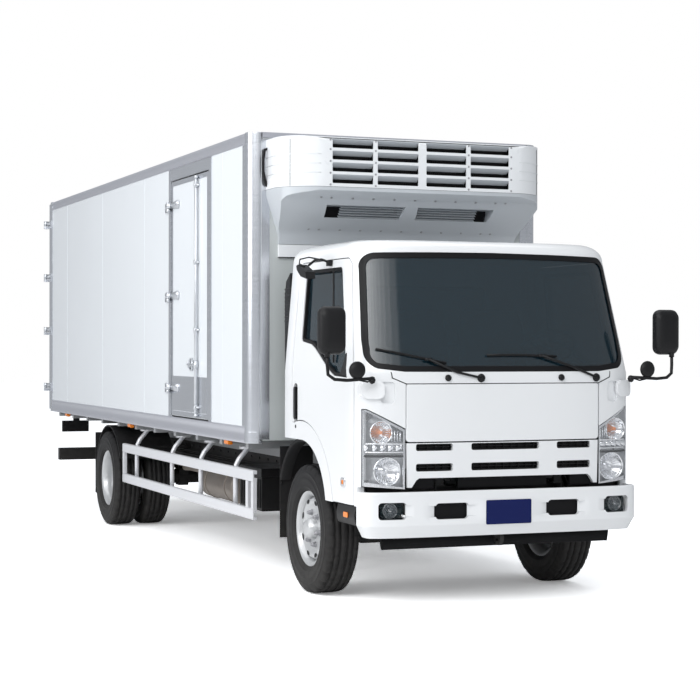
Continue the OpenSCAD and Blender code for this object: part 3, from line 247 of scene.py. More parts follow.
class Shape:
    """Gathers simple closed forms into one mesh; all places in metres from the front axle."""

    def __init__(self):
        self.bm = bmesh.new()

    def block(self, low, high, look=0):
        corners = [self.bm.verts.new((x, y, z)) for x in (low[0], high[0]) for y in (low[1],
                                                                                     high[1]) for z in (low[2], high[2])]
        for a, b, c, d in ((0, 1, 3, 2), (4, 6, 7, 5), (0, 4, 5, 1), (2, 3, 7, 6), (0, 2, 6, 4),
                           (1, 5, 7, 3)):
            face = self.bm.faces.new([corners[a], corners[b], corners[c], corners[d]])
            face.material_index = look
        return self

    def spin(self, profile, place, axis, steps=32, look=0, closed=True, start=0.0, sweep=2 * math.pi):
        """A turned form: profile is (distance along the axis, radius)."""
        axis = Vector(axis).normalized()
        side = axis.orthogonal().normalized()
        up = axis.cross(side)
        full = abs(sweep - 2 * math.pi) < 1e-6
        rings = []
        for i in range(steps if full else steps + 1):
            a = start + sweep * i / steps
            way = side * math.cos(a) + up * math.sin(a)
            rings.append([self.bm.verts.new(Vector(place) + axis * d + way * r) for d, r in profile])
        count = len(rings)
        for i in range(count if full else count - 1):
            one, two = rings[i], rings[(i + 1) % count]
            for j in range(len(profile) if closed else len(profile) - 1):
                k = (j + 1) % len(profile)
                quad = [one[j], two[j], two[k], one[k]]
                if profile[j][1] < 1e-6:
                    quad = [one[j], two[k], one[k]]
                elif profile[k][1] < 1e-6:
                    quad = [one[j], two[j], one[k]]
                try:
                    self.bm.faces.new(quad).material_index = look
                except ValueError:
                    pass
        return self

    def rod(self, a, b, r, steps=16, look=0, r2=None):
        a, b = Vector(a), Vector(b)
        r2 = r if r2 is None else r2
        length = (b - a).length
        e = min(r, r2) * 0.12
        return self.spin([(0, 0), (0, r - e), (e, r), (length - e, r2), (length, r2 - e), (length, 0)],
                         a, b - a, steps, look, closed=False)

    def tube(self, points, r, steps=10, look=0, closed=False):
        """A round bar bent along points."""
        points = [Vector(p) for p in points]
        count = len(points)
        rings = []
        side = None
        for i, p in enumerate(points):
            if closed:
                way = (points[(i + 1) % count] - points[i - 1]).normalized()
            else:
                way = (points[min(i + 1, count - 1)] - points[max(i - 1, 0)]).normalized()
            side = way.orthogonal().normalized() if side is None else (side - way * side.dot(way)).normalized()
            up = way.cross(side)
            rings.append([self.bm.verts.new(p + (side * math.cos(2 * math.pi * k / steps)
                                                 + up * math.sin(2 * math.pi * k / steps)) * r)
                          for k in range(steps)])
        for i in range(count if closed else count - 1):
            one, two = rings[i], rings[(i + 1) % count]
            for k in range(steps):
                self.bm.faces.new([one[k], one[(k + 1) % steps], two[(k + 1) % steps],
                                   two[k]]).material_index = look
        if not closed:
            self.bm.faces.new(rings[0][::-1]).material_index = look
            self.bm.faces.new(rings[-1]).material_index = look
        return self

    def push(self, outline, axis, low, high, look=0):
        """An outline in two axes, pushed through from low to high along the third."""
        ends = []
        for w in (low, high):
            ring = []
            for u, v in outline:
                values = {"x": (w, u, v), "y": (u, w, v), "z": (u, v, w)}[axis]
                ring.append(self.bm.verts.new(values))
            ends.append(ring)
        count = len(outline)
        self.bm.faces.new(ends[0]).material_index = look
        self.bm.faces.new(ends[1][::-1]).material_index = look
        for i in range(count):
            j = (i + 1) % count
            self.bm.faces.new([ends[0][i], ends[1][i], ends[1][j], ends[0][j]]).material_index = look
        return self

    def sheet(self, rows, look=0, around=False):
        """A surface through rows of points."""
        grid = [[self.bm.verts.new(p) for p in row] for row in rows]
        for i in range(len(grid) - 1):
            width = len(grid[i])
            for j in range(width if around else width - 1):
                k = (j + 1) % width
                self.bm.faces.new([grid[i][j], grid[i][k], grid[i + 1][k],
                                   grid[i + 1][j]]).material_index = look
        return grid

    def hexes(self, places, axis, r, h, look=0):
        """Bolt heads."""
        for p in places:
            self.spin([(0, 0), (0, r), (h * 0.8, r), (h, r * 0.85), (h, 0)], p, axis, 6, look, closed=False)
        return self

    def mirrored(self):
        """Adds the same on the other side of the truck."""
        copy = bmesh.ops.duplicate(self.bm,
                                   geom=self.bm.verts[:] + self.bm.edges[:] + self.bm.faces[:])["geom"]
        for item in copy:
            if isinstance(item, bmesh.types.BMVert):
                item.co.x = -item.co.x
        bmesh.ops.reverse_faces(self.bm, faces=[f for f in copy if isinstance(f, bmesh.types.BMFace)])
        return self

    def mesh(self, name, tidy=True):
        bmesh.ops.remove_doubles(self.bm, verts=self.bm.verts, dist=1e-6)
        if tidy:
            bmesh.ops.recalc_face_normals(self.bm, faces=self.bm.faces)
        made = bpy.data.meshes.new(name)
        self.bm.to_mesh(made)
        self.bm.free()
        return made


def arc(centre, r, a, b, n=8):
    return [(centre[0] + r * math.cos(math.radians(a + (b - a) * i / n)),
             centre[1] + r * math.sin(math.radians(a + (b - a) * i / n))) for i in range(n + 1)]


def round_box(x0, z0, x1, z1, r, n=5):
    return (arc((x1 - r, z1 - r), r, 0, 90, n) + arc((x0 + r, z1 - r), r, 90, 180, n)
            + arc((x0 + r, z0 + r), r, 180, 270, n) + arc((x1 - r, z0 + r), r, 270, 360, n))


chassis_paint = finish("chassis_paint", (0.009, 0.009, 0.010), rough=0.5, bump=0.25, grain=160, dust=0.16,
                       spec=0.3)
for node in ("chassis_frame", "front_axle", "rear_axle", "drive_shaft", "knuckle_left", "knuckle_right",
             "tie_rod", "rear_underrun_bar"):
    dress(node, chassis_paint)
casting = finish("rough_casting", (0.05, 0.05, 0.055), rough=0.75, metal=0.6, bump=0.8, grain=120, dust=0.25)
dress("engine_block", casting)
core = finish("radiator_core", (0.20, 0.21, 0.22), rough=0.45, metal=0.8, bump=0.6, grain=60,
              stretch=(1, 1, 12))
dress("radiator", core)

# rivets and bolt heads along the rails, and the brake and air pipes clipped to them
rail_bolts = Shape()
for y in [0.2 * i - 0.8 for i in range(38)]:
    for z in (0.580, 0.700):
        rail_bolts.hexes([(0.425, y, z)], (1, 0, 0), 0.010, 0.007)
rail_bolts.mirrored()
piece("rail_bolts", rail_bolts.mesh("rail_bolts"), chassis_paint, "chassis", smooth=False)
pipes = Shape()
for z, r in ((0.655, 0.006), (0.640, 0.005), (0.622, 0.008)):
    pipes.tube([(-0.434, -0.7, z), (-0.434, 1.2, z), (-0.436, 3.0, z), (-0.434, 5.2, z)], r, 8)
piece("brake_pipes", pipes.mesh("brake_pipes"), chassis_paint, "chassis")

# ---------------------------------------------------------------- springs
# Packs of steel leaves, each shorter than the one above, held at the axle by two U-bolts and at the ends by
# shackles.
leaves = Shape()
for middle, half, height, rise in ((0, 0.640, 0.452, 0.070), (wheelbase, 0.700, tyre_r + 0.100, 0.015)):
    for i in range(5):
        reach = half * (1 - 0.19 * i)
        top = 0.010 - i * 0.0092
        outline = []
        for s in range(25):
            t = -1 + s / 12
            outline.append((middle + reach * t, height + top + rise * (reach * t / half) ** 2))
        under = [(y, z - 0.0085) for y, z in reversed(outline)]
        leaves.push(outline + under, "x", 0.364, 0.432)
    for y in (middle - 0.055, middle + 0.055):
        leaves.tube([(0.358, y, height - 0.05), (0.358, y, height + 0.018), (0.438, y, height + 0.018),
                     (0.438, y, height - 0.05)], 0.008, 8)
    for e in (-1, 1):
        leaves.rod((0.360, middle + e * half, height + rise + 0.006),
                   (0.436, middle + e * half, height + rise + 0.006), 0.020)
        leaves.block((0.350, middle + e * half - 0.03, height + rise - 0.02),
                     (0.360, middle + e * half + 0.03, 0.60))
leaves.mirrored()
spring_steel = finish("spring_steel", (0.02, 0.019, 0.018), rough=0.6, metal=0.5, bump=0.4, grain=90,
                      dust=0.25)
crisp(piece("leaf_packs", leaves.mesh("leaf_packs"), spring_steel, "chassis",
            ("leaf_springs",), smooth=False),
      0.001, segments=1)

# ---------------------------------------------------------------- tank, batteries and silencer
# A pressed aluminium fuel tank held by two straps, a battery carrier with a ribbed plastic lid,
# and a rolled steel silencer with its tail pipe, all on brackets outside the rails.
tank_high = Vector(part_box("fuel_tank")[1]) - Vector((0, axle_y, 0))
tank = Shape()
tank_shape = round_box(0.470, 0.330, tank_high.x, tank_high.z, 0.07, 8)
tank.push(tank_shape, "y", 1.250, 2.150)
tank.block((0.4253, 1.350, 0.560), (0.480, 1.400, 0.700))
tank.block((0.4253, 2.010, 0.560), (0.480, 2.060, 0.700))
tank_look = finish("tank_aluminium", (0.62, 0.63, 0.64), rough=0.32, metal=1, bump=0.3, grain=8, vary=0.1,
                   dust=0.4)
crisp(piece("fuel_tank_body", tank.mesh("fuel_tank_body"), tank_look, "chassis",
            ("fuel_tank",)), 0.012)
straps = Shape()
for y in (1.375, 2.035):
    ring = [(x, z) for x, z in round_box(0.468, 0.328, tank_high.x + 0.002, tank_high.z + 0.002, 0.071, 8)]
    inner = [(x, z) for x, z in round_box(0.4695, 0.3295, tank_high.x + 0.0002, tank_high.z + 0.0002, 0.07,
                                          8)]
    for a in range(len(ring)):
        b = (a + 1) % len(ring)
        for p, q in (((y - 0.02), (y + 0.02)),):
            v = [straps.bm.verts.new(t) for t in ((ring[a][0], p, ring[a][1]), (ring[b][0], p, ring[b][1]),
                                                  (ring[b][0], q, ring[b][1]), (ring[a][0], q, ring[a][1]))]
            straps.bm.faces.new(v)
straps.spin([(0, 0), (0, 0.045), (0.030, 0.045), (0.034, 0.04), (0.034, 0)],
            ((0.62, 1.62, tank_high.z)), (0, 0, 1), 24, closed=False)
piece("tank_straps", straps.mesh("tank_straps"), chassis_paint, "chassis")
battery = Shape()
battery.block((-0.795, 1.250, 0.400), (-0.465, 1.750, 0.640))
battery.block((-0.800, 1.245, 0.640), (-0.462, 1.755, 0.700))
for i in range(9):
    battery.block((-0.803, 1.275 + i * 0.052, 0.420), (-0.795, 1.295 + i * 0.052, 0.625))
battery.block((-0.475, 1.300, 0.560), (-0.4253, 1.350, 0.700))
battery.block((-0.475, 1.650, 0.560), (-0.4253, 1.700, 0.700))
moulded = finish("moulded_black", (0.006, 0.006, 0.007), rough=0.42, bump=0.2, grain=420, dust=0.06, spec=0.3)
crisp(piece("battery_carrier", battery.mesh("battery_carrier"), moulded, "chassis",
            ("battery_box",)), 0.006)
silencer = Shape()
silencer.spin([(0, 0), (0, 0.112), (0.008, 0.124), (0.03, 0.130), (0.82, 0.130), (0.842, 0.124),
               (0.85, 0.112), (0.85, 0)],
              (-0.625, 2.1, 0.5), (0, 1, 0), 48, closed=False)
silencer.tube([(-0.625, 2.94, 0.56), (-0.625, 3.3, 0.56), (-0.625, 3.6, 0.56), (-0.64, 3.69, 0.555)], 0.031,
              20)
for y in (2.27, 2.77):
    silencer.spin([(-0.02, 0.130), (-0.02, 0.134), (0.02, 0.134), (0.02, 0.130)], (-0.625, y, 0.5), (0, 1, 0),
                  48)
    silencer.block((-0.52, y - 0.02, 0.560), (-0.4253, y + 0.02, 0.600))
baked = finish("baked_steel", (0.33, 0.29, 0.26), rough=0.5, metal=0.9, vary=0.25, patch=9, bump=0.3,
               dust=0.4)
piece("silencer", silencer.mesh("silencer"), baked, "chassis", ("exhaust_silencer",))


# ---------------------------------------------------------------- wheels
# Steel disc wheels in silver, six nuts on each hub and eight hand holes on each front disc; radial tyres with
# four ribs of blocks. Twin wheels stand back to back at the rear, so their discs are deeply dished.

tread = finish("tyre_rubber", (0.009, 0.009, 0.010), rough=0.6, bump=0.5, grain=260, vary=0.15, dust=0.14,
               dust_top=0.8, spec=0.28)
wheel_paint = finish("wheel_paint", (0.60, 0.61, 0.62), rough=0.34, metal=0.55, bump=0.15, grain=200,
                     vary=0.08, dust=0.12)
nut_steel = finish("nut_steel", (0.40, 0.40, 0.42), rough=0.32, metal=0.95, vary=0.15, patch=40)
# near-black that stands as painted shade for the inside of the wheel, seen through its hand holes
wheel_inside_shade = finish("painted_wheel_inside_shade", (0.012, 0.012, 0.013), rough=0.8)
bead_r = 0.222


def tyre(shape, x, y):
    """A tyre whose shoulder blocks and sipes are cut between its grooves."""
    half = 0.1125
    steps = 168
    side = [(bead_r + 0.001, 0.076), (0.239, 0.0765), (0.242, 0.090), (0.250, 0.098), (0.262, 0.104),
            (0.266, 0.1075),
            (0.268, 0.1075), (0.272, 0.106), (0.30, 0.1122), (0.315, half), (0.3165, half), (0.3175, 0.1115),
            (0.338, half - 0.0005), (0.352, 0.1115), (0.3535, 0.1125), (0.3555, 0.1125), (0.357, 0.1105),
            (0.372, 0.107), (0.386, 0.1015), (0.394, 0.097)]
    crown = [(0.4005, 0.090), (0.4035, 0.080), (0.4050, 0.066), (0.3935, 0.0645), (0.3935, 0.0555),
             (0.4060, 0.054),
             (0.4065, 0.030), (0.3935, 0.0285), (0.3935, 0.0195), (0.4068, 0.018), (0.4070, 0.0)]
    profile = [(r, w) for r, w in side] + crown
    profile = profile + [(r, -w) for r, w in reversed(profile[:-1])]
    rings = []
    for i in range(steps):
        a = 2 * math.pi * i / steps
        ring = []
        for j, (r, w) in enumerate(profile):
            shoulder = r > 0.385 and 0.066 <= abs(w) <= 0.1016
            middle = r > 0.404 and abs(w) < 0.056
            if shoulder and i % 6 == 0:
                r -= 0.009
            elif middle and (i + (2 if w > 0 else 0)) % 6 == 3:
                r -= 0.005
            ring.append(shape.bm.verts.new((x + w, y + r * math.cos(a), tyre_r + r * math.sin(a))))
        rings.append(ring)
    for i in range(steps):
        one, two = rings[i], rings[(i + 1) % steps]
        for j in range(len(profile) - 1):
            shape.bm.faces.new([one[j], two[j], two[j + 1], one[j + 1]])


def barrel(shape, x, y, out):
    """A rim's barrel with its flanges and well."""
    w = 0.085
    profile = [(-w, 0.236), (-w, 0.238), (-w + 0.005, 0.2385), (-w + 0.010, 0.228), (-w + 0.022, 0.2225),
               (-0.020, 0.214),
               (0.020, 0.214), (w - 0.022, 0.2225), (w - 0.010, 0.228), (w - 0.005, 0.2385), (w, 0.238),
               (w + 0.001, 0.236),
               (w - 0.004, 0.226), (w - 0.014, 0.212), (0.03, 0.206), (-0.03, 0.206), (-w + 0.014, 0.212),
               (-w + 0.004, 0.226)]
    shape.spin([(d * out, r) for d, r in profile], (x, y, tyre_r), (1, 0, 0), 96)


def disc(shape, x, y, out, hub, shoulder, edge, dome):
    """A pressed disc: hub face, rounded shoulder and skirt; its hand holes are added apart, as dark insets of
    painted shade.
    """
    profile = [(hub, 0.062), (hub, 0.135), (hub + dome * 0.4, 0.142), (shoulder, 0.152),
               (shoulder + dome, 0.166),
               (shoulder + dome * 0.6, 0.184), (edge + (shoulder - edge) * 0.45, 0.199), (edge, 0.208),
               (edge - 0.012, 0.208),
               (edge + (shoulder - edge) * 0.4 - 0.012, 0.193), (shoulder - 0.010, 0.160),
               (hub - 0.012, 0.135), (hub - 0.012, 0.062)]
    shape.spin([(d * out, r) for d, r in profile], (x, y, tyre_r), (1, 0, 0), 96)


# The hand holes are not cut through: each is a flat dark oval inset on the disc, painted shade in place of the
# opening.
def hand_holes(shape, x, y, out, depth, r, look):
    for i in range(8):
        a = math.radians(i * 45 + 22.5)
        place = Vector((x + depth * out, y + r * math.cos(a), tyre_r + r * math.sin(a)))
        grid = []
        for rim, lift in ((1.0, 0.0), (0.82, 0.0006), (0.0, 0.0006)):
            ring = []
            for k in range(20):
                b = 2 * math.pi * k / 20
                along = 0.024 * rim * math.cos(b)
                across = 0.0135 * rim * math.sin(b)
                tangent = Vector((0, -math.sin(a), math.cos(a)))
                radial = Vector((0, math.cos(a), math.sin(a)))
                ring.append(shape.bm.verts.new(place + tangent * along + radial * across + Vector((lift * out,
                                                                                                   0, 0))))
            grid.append(ring)
        for g in range(2):
            for k in range(20):
                shape.bm.faces.new([grid[g][k], grid[g][(k + 1) % 20], grid[g + 1][(k + 1) % 20],
                                    grid[g + 1][k]]).material_index = look


def hub_and_nuts(shape, x, y, out, face, cap, count, pitch_r):
    """The hub's cap and the ring of nuts, on the disc's face."""
    shape.spin([(face * out, 0), (face * out, 0.070), ((cap - 0.02) * out, 0.066),
                ((cap - 0.004) * out, 0.052),
                (cap * out, 0.040), (cap * out, 0.0)], (x, y, tyre_r), (1, 0, 0), 40, 0, closed=False)
    for i in range(count):
        a = 2 * math.pi * i / count + 0.2
        place = (x + face * out, y + pitch_r * math.cos(a), tyre_r + pitch_r * math.sin(a))
        shape.spin([(0, 0), (0, 0.019), (0.003 * out, 0.0195), (0.004 * out, 0.0165)], place, (1, 0, 0), 16,
                   1, closed=False)
        shape.spin([(0, 0), (0, 0.0165), (0.022 * out, 0.0165), (0.026 * out, 0.014), (0.026 * out, 0)],
                   place, (1, 0, 0), 6, 1, closed=False)
        shape.spin([(0, 0), (0, 0.0095), (0.033 * out, 0.0095), (0.035 * out, 0.008), (0.035 * out, 0)],
                   place, (1, 0, 0), 12, 1, closed=False)


front_x = (tyre_low[0] + tyre_high[0]) / 2
rear_low, rear_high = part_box("rear_left_tyres")
outer_x = rear_high[0] - 0.1125
inner_x = rear_low[0] + 0.1125
for side, sign in (("left", 1), ("right", -1)):
    shape = Shape()
    tyre(shape, front_x * sign, 0)
    piece(f"front_{side}_tread", shape.mesh(f"front_{side}_tread"), tread, f"front_{side}_wheel",
          (f"front_{side}_tyre",))
    shape = Shape()
    for x in (outer_x, inner_x):
        tyre(shape, x * sign, wheelbase)
    piece(f"rear_{side}_treads", shape.mesh(f"rear_{side}_treads"), tread, f"rear_{side}_wheels",
          (f"rear_{side}_tyres",))
    shape = Shape()
    barrel(shape, front_x * sign, 0, sign)
    disc(shape, front_x * sign, 0, sign, 0.052, 0.060, 0.020, 0.006)
    hand_holes(shape, front_x * sign, 0, sign, 0.0668, 0.176, 2)
    hub_and_nuts(shape, front_x * sign, 0, sign, 0.052, 0.108, 6, 0.104)
    # a dark dish behind the front disc, in the painted-shade black of the wheel's inside
    shape.spin([(-0.05 * sign, 0.0), (-0.05 * sign, 0.155), (-0.02 * sign, 0.16), (0.0, 0.14), (0.0, 0.0)],
               (front_x * sign, 0, tyre_r), (1, 0, 0), 48, 2, closed=False)
    made = piece(f"front_{side}_disc", shape.mesh(f"front_{side}_disc"), [wheel_paint, nut_steel, wheel_inside_shade],
                 f"front_{side}_wheel", (f"front_{side}_rim",))
    crisp(made, 0.0015, 50)
    shape = Shape()
    for x, out in ((outer_x, sign), (inner_x, -sign)):
        barrel(shape, x * sign, wheelbase, out)
        disc(shape, x * sign, wheelbase, out, -0.112, -0.100, 0.022, -0.004)
    hub_and_nuts(shape, outer_x * sign, wheelbase, sign, -0.112, -0.010, 6, 0.104)
    made = piece(f"rear_{side}_discs", shape.mesh(f"rear_{side}_discs"), [wheel_paint, nut_steel, wheel_inside_shade],
                 f"rear_{side}_wheels", (f"rear_{side}_rims",))
    crisp(made, 0.0015, 50)

# ---------------------------------------------------------------- mudguards
# Rolled black plastic guards on steel stays over the twin wheels, with rubber flaps hung behind
# the front and the rear wheels.
rubber = finish("flap_rubber", (0.009, 0.009, 0.010), rough=0.7, bump=0.6, grain=150, dust=0.15, vary=0.2,
                spec=0.25)
dress("mudguards", rubber)

# ---------------------------------------------------------------- cab shell
# Pressed steel panels welded into one shell and painted gloss white. It is crowned at the front,
# leans in above the belt line and has a hollow roof edge; doors, lid and lamps fit its openings.

cab_half = 0.925
cab_front = -0.968
cab_rear = 0.440
belt_z = 1.400
wall = 0.055


def half_width(z):
    return cab_half - max(z - belt_z, 0) * 0.082


def front_face(z):
    return cab_front + max(z - 1.395, 0) * 0.294


def cab_loop(z, t=0.0, tuck=0.0, rise=0.0):
    """The cab's outline in plan at one height, drawn in by t; tuck and rise shape the roof's edge."""
    a = half_width(z) - t - tuck
    y0 = front_face(min(z, 2.10)) + t + tuck * 1.15
    depth = 0.308
    back = cab_rear - t - tuck * 0.8
    corner = max(0.055 - t * 0.4, 0.012)
    half = []
    for i in range(4):
        half.append((a * i / 4 * 0.92, back))
    for i in range(7):
        b = math.radians(90 - 90 * i / 6)
        half.append((a - corner + corner * math.cos(b), back - corner + corner * math.sin(b)))
    for i in range(1, 8):
        half.append((a, back - corner + (y0 + depth - back + corner) * i / 8))
    for i in range(29):
        b = math.pi / 2 * i / 28
        x = a * math.cos(b) ** 0.5
        y = y0 + depth - depth * math.sin(b) ** 0.5
        half.append((max(x, 0), y))
    right = [(x, y, z + rise) for x, y in half]
    left = [(-x, y, z + rise) for x, y in reversed(half) if x > 1e-6]
    return right + left


def cab_solid(t, low=0.50):
    """A closed form of the whole cab, drawn in by t."""
    shape = Shape()
    rows = []
    heights = [low, 0.8, 1.1, 1.30, 1.395] + [1.395 + 0.7 * i / 14 for i in range(1, 15)]
    for z in heights:
        rows.append(cab_loop(z, t))
    r = 0.108 - t
    for i in range(1, 9):
        b = math.radians(90 * i / 8)
        rows.append(cab_loop(2.095, t, r * (1 - math.cos(b)), r * math.sin(b)))
    grid = shape.sheet(rows, around=True)
    last = rows[-1]
    middle = Vector((0, sum(p[1] for p in last) / len(last), 0))
    previous = grid[-1]
    for s, up in ((0.8, 0.004), (0.55, 0.007), (0.25, 0.008)):
        ring = [shape.bm.verts.new((p[0] * s, middle.y + (p[1] - middle.y) * s,
                                    last[0][2] + up)) for p in last]
        for j in range(len(ring)):
            k = (j + 1) % len(ring)
            shape.bm.faces.new([previous[j], previous[k], ring[k], ring[j]])
        previous = ring
    shape.bm.faces.new(previous)
    shape.bm.faces.new(grid[0][::-1])
    return shape.mesh("cab_form")


def loose(mesh):
    made = bpy.data.objects.new("work", mesh)
    bpy.context.scene.collection.objects.link(made)
    return made


def carve(base, tool, how="DIFFERENCE"):
    """Cuts, joins or keeps what base shares with tool; the tool is used up."""
    step = base.modifiers.new("carve", "BOOLEAN")
    step.operation = how
    step.object = tool
    step.solver = "EXACT"
    bpy.context.view_layer.update()
    result = bpy.data.meshes.new_from_object(base.evaluated_get(bpy.context.evaluated_depsgraph_get()))
    base.modifiers.clear()
    base.data = result
    bpy.data.objects.remove(tool)
    return base


def pushed(outline, axis, low, high):
    return loose(Shape().push(outline, axis, low, high).mesh("tool"))


def take(work):
    """The mesh of a work object, which is then gone."""
    mesh = work.data
    mesh.materials.clear()
    bpy.data.objects.remove(work)
    return mesh


def shell_between(t0, t1):
    return carve(loose(cab_solid(t0)), loose(cab_solid(t1, 0.45)))


arch_y, arch_z, arch_r = 0.082, 0.514, 0.451
lip = 0.125
door_front, door_rear, door_low = -0.800, 0.250, 0.622


def door_outline(g):
    """The door from the side: its rear lower edge follows the wheel arch. Grown by g."""
    top = 2.087
    return ([(door_front - g, door_low - g), (door_front - g, belt_z - 0.02),
             (door_front + 0.178 - g, 2.050 + g)]
            + arc((door_front + 0.225, top - 0.030), 0.030 + g, 140, 90, 4)
            + arc((door_rear - 0.060, top - 0.048), 0.048 + g, 90, 10, 6)
            + [(door_rear + g, 1.95), (door_rear + g, arch_z + 0.560)]
            + arc((arch_y, arch_z), arch_r + lip - g, 76, 169, 22)
            + [(arch_y - (arch_r + lip - g) * math.cos(math.radians(11)), door_low - g)])


def window_outline(g):
    """The door's window; its sill steps down towards the front."""
    f = door_front
    return ([(f + 0.088 - g, 1.372 - g), (f + 0.30, 1.380 - g), (f + 0.40, 1.414 - g), (f + 0.48, 1.452 - g),
             (f + 0.60, 1.512 - g), (f + 0.68, 1.550 - g), (f + 0.74, 1.570 - g)]
            + arc((f + 0.895, 1.618), 0.030 + g, 270, 360, 5)
            + arc((f + 0.885, 2.000), 0.040 + g, 0, 90, 5)
            + arc((f + 0.325, 2.000), 0.040 + g, 90, 150, 4))


def screen_outline(g):
    """The windscreen's opening from the front, with round corners."""
    half = ([(0, 1.408 - g), (0.40, 1.408 - g), (0.648, 1.409 - g)] + arc((0.770, 1.520), 0.098 + g, 290, 360,
                                                                          6)
            + [(0.868 + g, 1.60), (0.835 + g, 2.02)] + arc((0.745, 2.030), 0.090 + g, 5, 88,
                                                           7) + [(0.40, 2.126 + g), (0, 2.130 + g)])
    return [(x, z) for x, z in half] + [(-x, z) for x, z in reversed(half) if x > 0]


lid_half, lid_low, lid_high = 0.640, 0.996, 1.336
lamp_in, lamp_out = 0.646, 0.884


def lamp_outline(g, low=0.734):
    return [(lamp_in - g, 0.718 - g if low < 0.8 else low), (lamp_out + g, low - g),
            (lamp_out + g, 1.187 + g),
            (lamp_out - 0.02, 1.187 + g), (lamp_in - g, 1.070 + g)]


skin = shell_between(0, wall)
carve(skin, pushed(screen_outline(0), "y", -1.2, -0.50))
carve(skin, pushed(door_outline(0.006), "x", 0.74, 1.0))
carve(skin, pushed(door_outline(0.006), "x", -1.0, -0.74))
carve(skin, pushed(round_box(-0.52, 1.56, 0.52, 1.96, 0.04), "y", 0.3, 0.6))
front_cut = [(-lid_half - 0.005, 0.40), (lid_half + 0.005, 0.40), (lid_half + 0.005, lid_high + 0.005),
             (-lid_half - 0.005, lid_high + 0.005)]
carve(skin, pushed(front_cut, "y", -1.2, -0.88))
for sign in (1, -1):
    carve(skin, pushed([(x * sign, z) for x, z in lamp_outline(0.004)], "y", -1.2, -0.76))
carve(skin, pushed([(-0.83, 0.40), (-0.83, 0.730), (-1.1, 0.730), (-1.1, 0.40)], "x", -1.2, 1.2))
carve(skin, pushed([(door_front - 0.1, 0.2), (0.6, 0.2), (0.6, door_low - 0.006),
                    (door_front - 0.1, door_low - 0.006)], "x", -1.2, 1.2))
carve(skin, pushed(arc((arch_y, arch_z), arch_r, 0, 360, 96)[:-1], "x", -1.2, 1.2))
carve(skin, pushed([(arch_y, 0.2), (0.7, 0.2), (0.7, 0.965), (arch_y, 0.965)], "x", -1.2, 1.2))
carve(skin, pushed([(-0.86, 0.3), (0.86, 0.3), (0.86, 0.730), (-0.86, 0.730)], "y", -1.2, 0.6))
for sign in (1, -1):
    pocket = carve(shell_between(-0.012, 0.012),
                   pushed([(x * sign, z) for x, z in round_box(0.708, 1.224, 0.790, 1.350, 0.022)], "y", -1.2,
                          -0.70), "INTERSECT")
    carve(skin, pocket)
cab_white = finish("cab_enamel", (0.80, 0.815, 0.83), rough=0.22, coat=0.6, vary=0.012, patch=1.5, bump=0.04,
                   grain=500)
crisp(piece("cab_panels", take(skin), cab_white, "cab", ("cab_shell",)), 0.004, 38)

# the inner panel, which closes the front behind lid, grille and lamps
inner = Shape()
inner.block((-0.643, -0.893, 0.832), (0.643, -0.873, 1.385))
# Near-black for the black steel parts; on the lower apron and the valance it also stands as painted shade.
black_steel_and_shade = finish("inner_black_and_painted_shade", (0.006, 0.006, 0.007), rough=0.7, bump=0.2, grain=80, spec=0.2)
piece("inner_front", inner.mesh("inner_front"), black_steel_and_shade, "cab", smooth=False)

# ---------------------------------------------------------------- doors
# Each door is one pressing with its window frame, hung on two inside hinges at the front. A black
# rubber channel holds the glass, and the upright handle sits in a black recess near the rear.
seal_rubber = finish("seal_rubber", (0.004, 0.004, 0.005), rough=0.5, bump=0.1, grain=300, spec=0.25)
tinted = finish("tinted_glass", (0.006, 0.020, 0.030), rough=0.09, vary=0.05, patch=0.5, alpha=0.80, spec=0.9)
for side, sign in (("left", 1), ("right", -1)):
    low, high = (0.74, 1.0) if sign > 0 else (-1.0, -0.74)
    door = carve(shell_between(0, wall - 0.003), pushed(door_outline(0), "x", low, high), "INTERSECT")
    carve(door, pushed(window_outline(0), "x", *((0.70, 1.0) if sign > 0 else (-1.0, -0.70))))
    carve(door, pushed(round_box(0.150, 1.070, 0.222, 1.322, 0.03), "x",
                       *((0.906, 1.0) if sign > 0 else (-1.0, -0.906))))
    crisp(piece(f"{side}_door_panel", take(door), cab_white, f"cab_door_{side}",
                (f"cab_door_{side}",)), 0.004, 38)
    seal = carve(shell_between(0.006, 0.050), pushed(window_outline(-0.0005), "x", low, high), "INTERSECT")
    carve(seal, pushed(window_outline(-0.020), "x", *((0.70, 1.0) if sign > 0 else (-1.0, -0.70))))
    crisp(piece(f"{side}_window_channel", take(seal), seal_rubber, f"cab_door_{side}"),
          0.003, 38)
    glass = carve(shell_between(0.022, 0.028), pushed(window_outline(-0.004), "x", low, high), "INTERSECT")
    piece(f"{side}_window", take(glass), tinted, f"cab_door_{side}", (f"door_glass_{side}",))
    handle = Shape()
    handle.push(round_box(0.152, 1.072, 0.220, 1.320, 0.028), "x", 0.9065 * sign, 0.9085 * sign)
    handle.push(round_box(0.168, 1.092, 0.204, 1.300, 0.016), "x", 0.918 * sign, 0.936 * sign)
    handle.block((min(0.908 * sign, 0.92 * sign), 0.175, 1.10),
                 (max(0.908 * sign, 0.92 * sign), 0.197, 1.125))
    handle.block((min(0.908 * sign, 0.92 * sign), 0.175, 1.265),
                 (max(0.908 * sign, 0.92 * sign), 0.197, 1.295))
    handle.rod((0.908 * sign, 0.186, 1.045), (0.927 * sign, 0.186, 1.045), 0.012)
    crisp(piece(f"{side}_door_handle", handle.mesh(f"{side}_door_handle"), moulded, f"cab_door_{side}"), 0.004)
    # the upright bar between the quarter light and the main pane
    trim = Shape()
    trim.block((min(0.905 * sign, 0.912 * sign), -0.455, 1.46),
               (max(0.905 * sign, 0.912 * sign), -0.440, 2.03))
    piece(f"{side}_window_bar", trim.mesh(f"{side}_window_bar"), seal_rubber, f"cab_door_{side}")

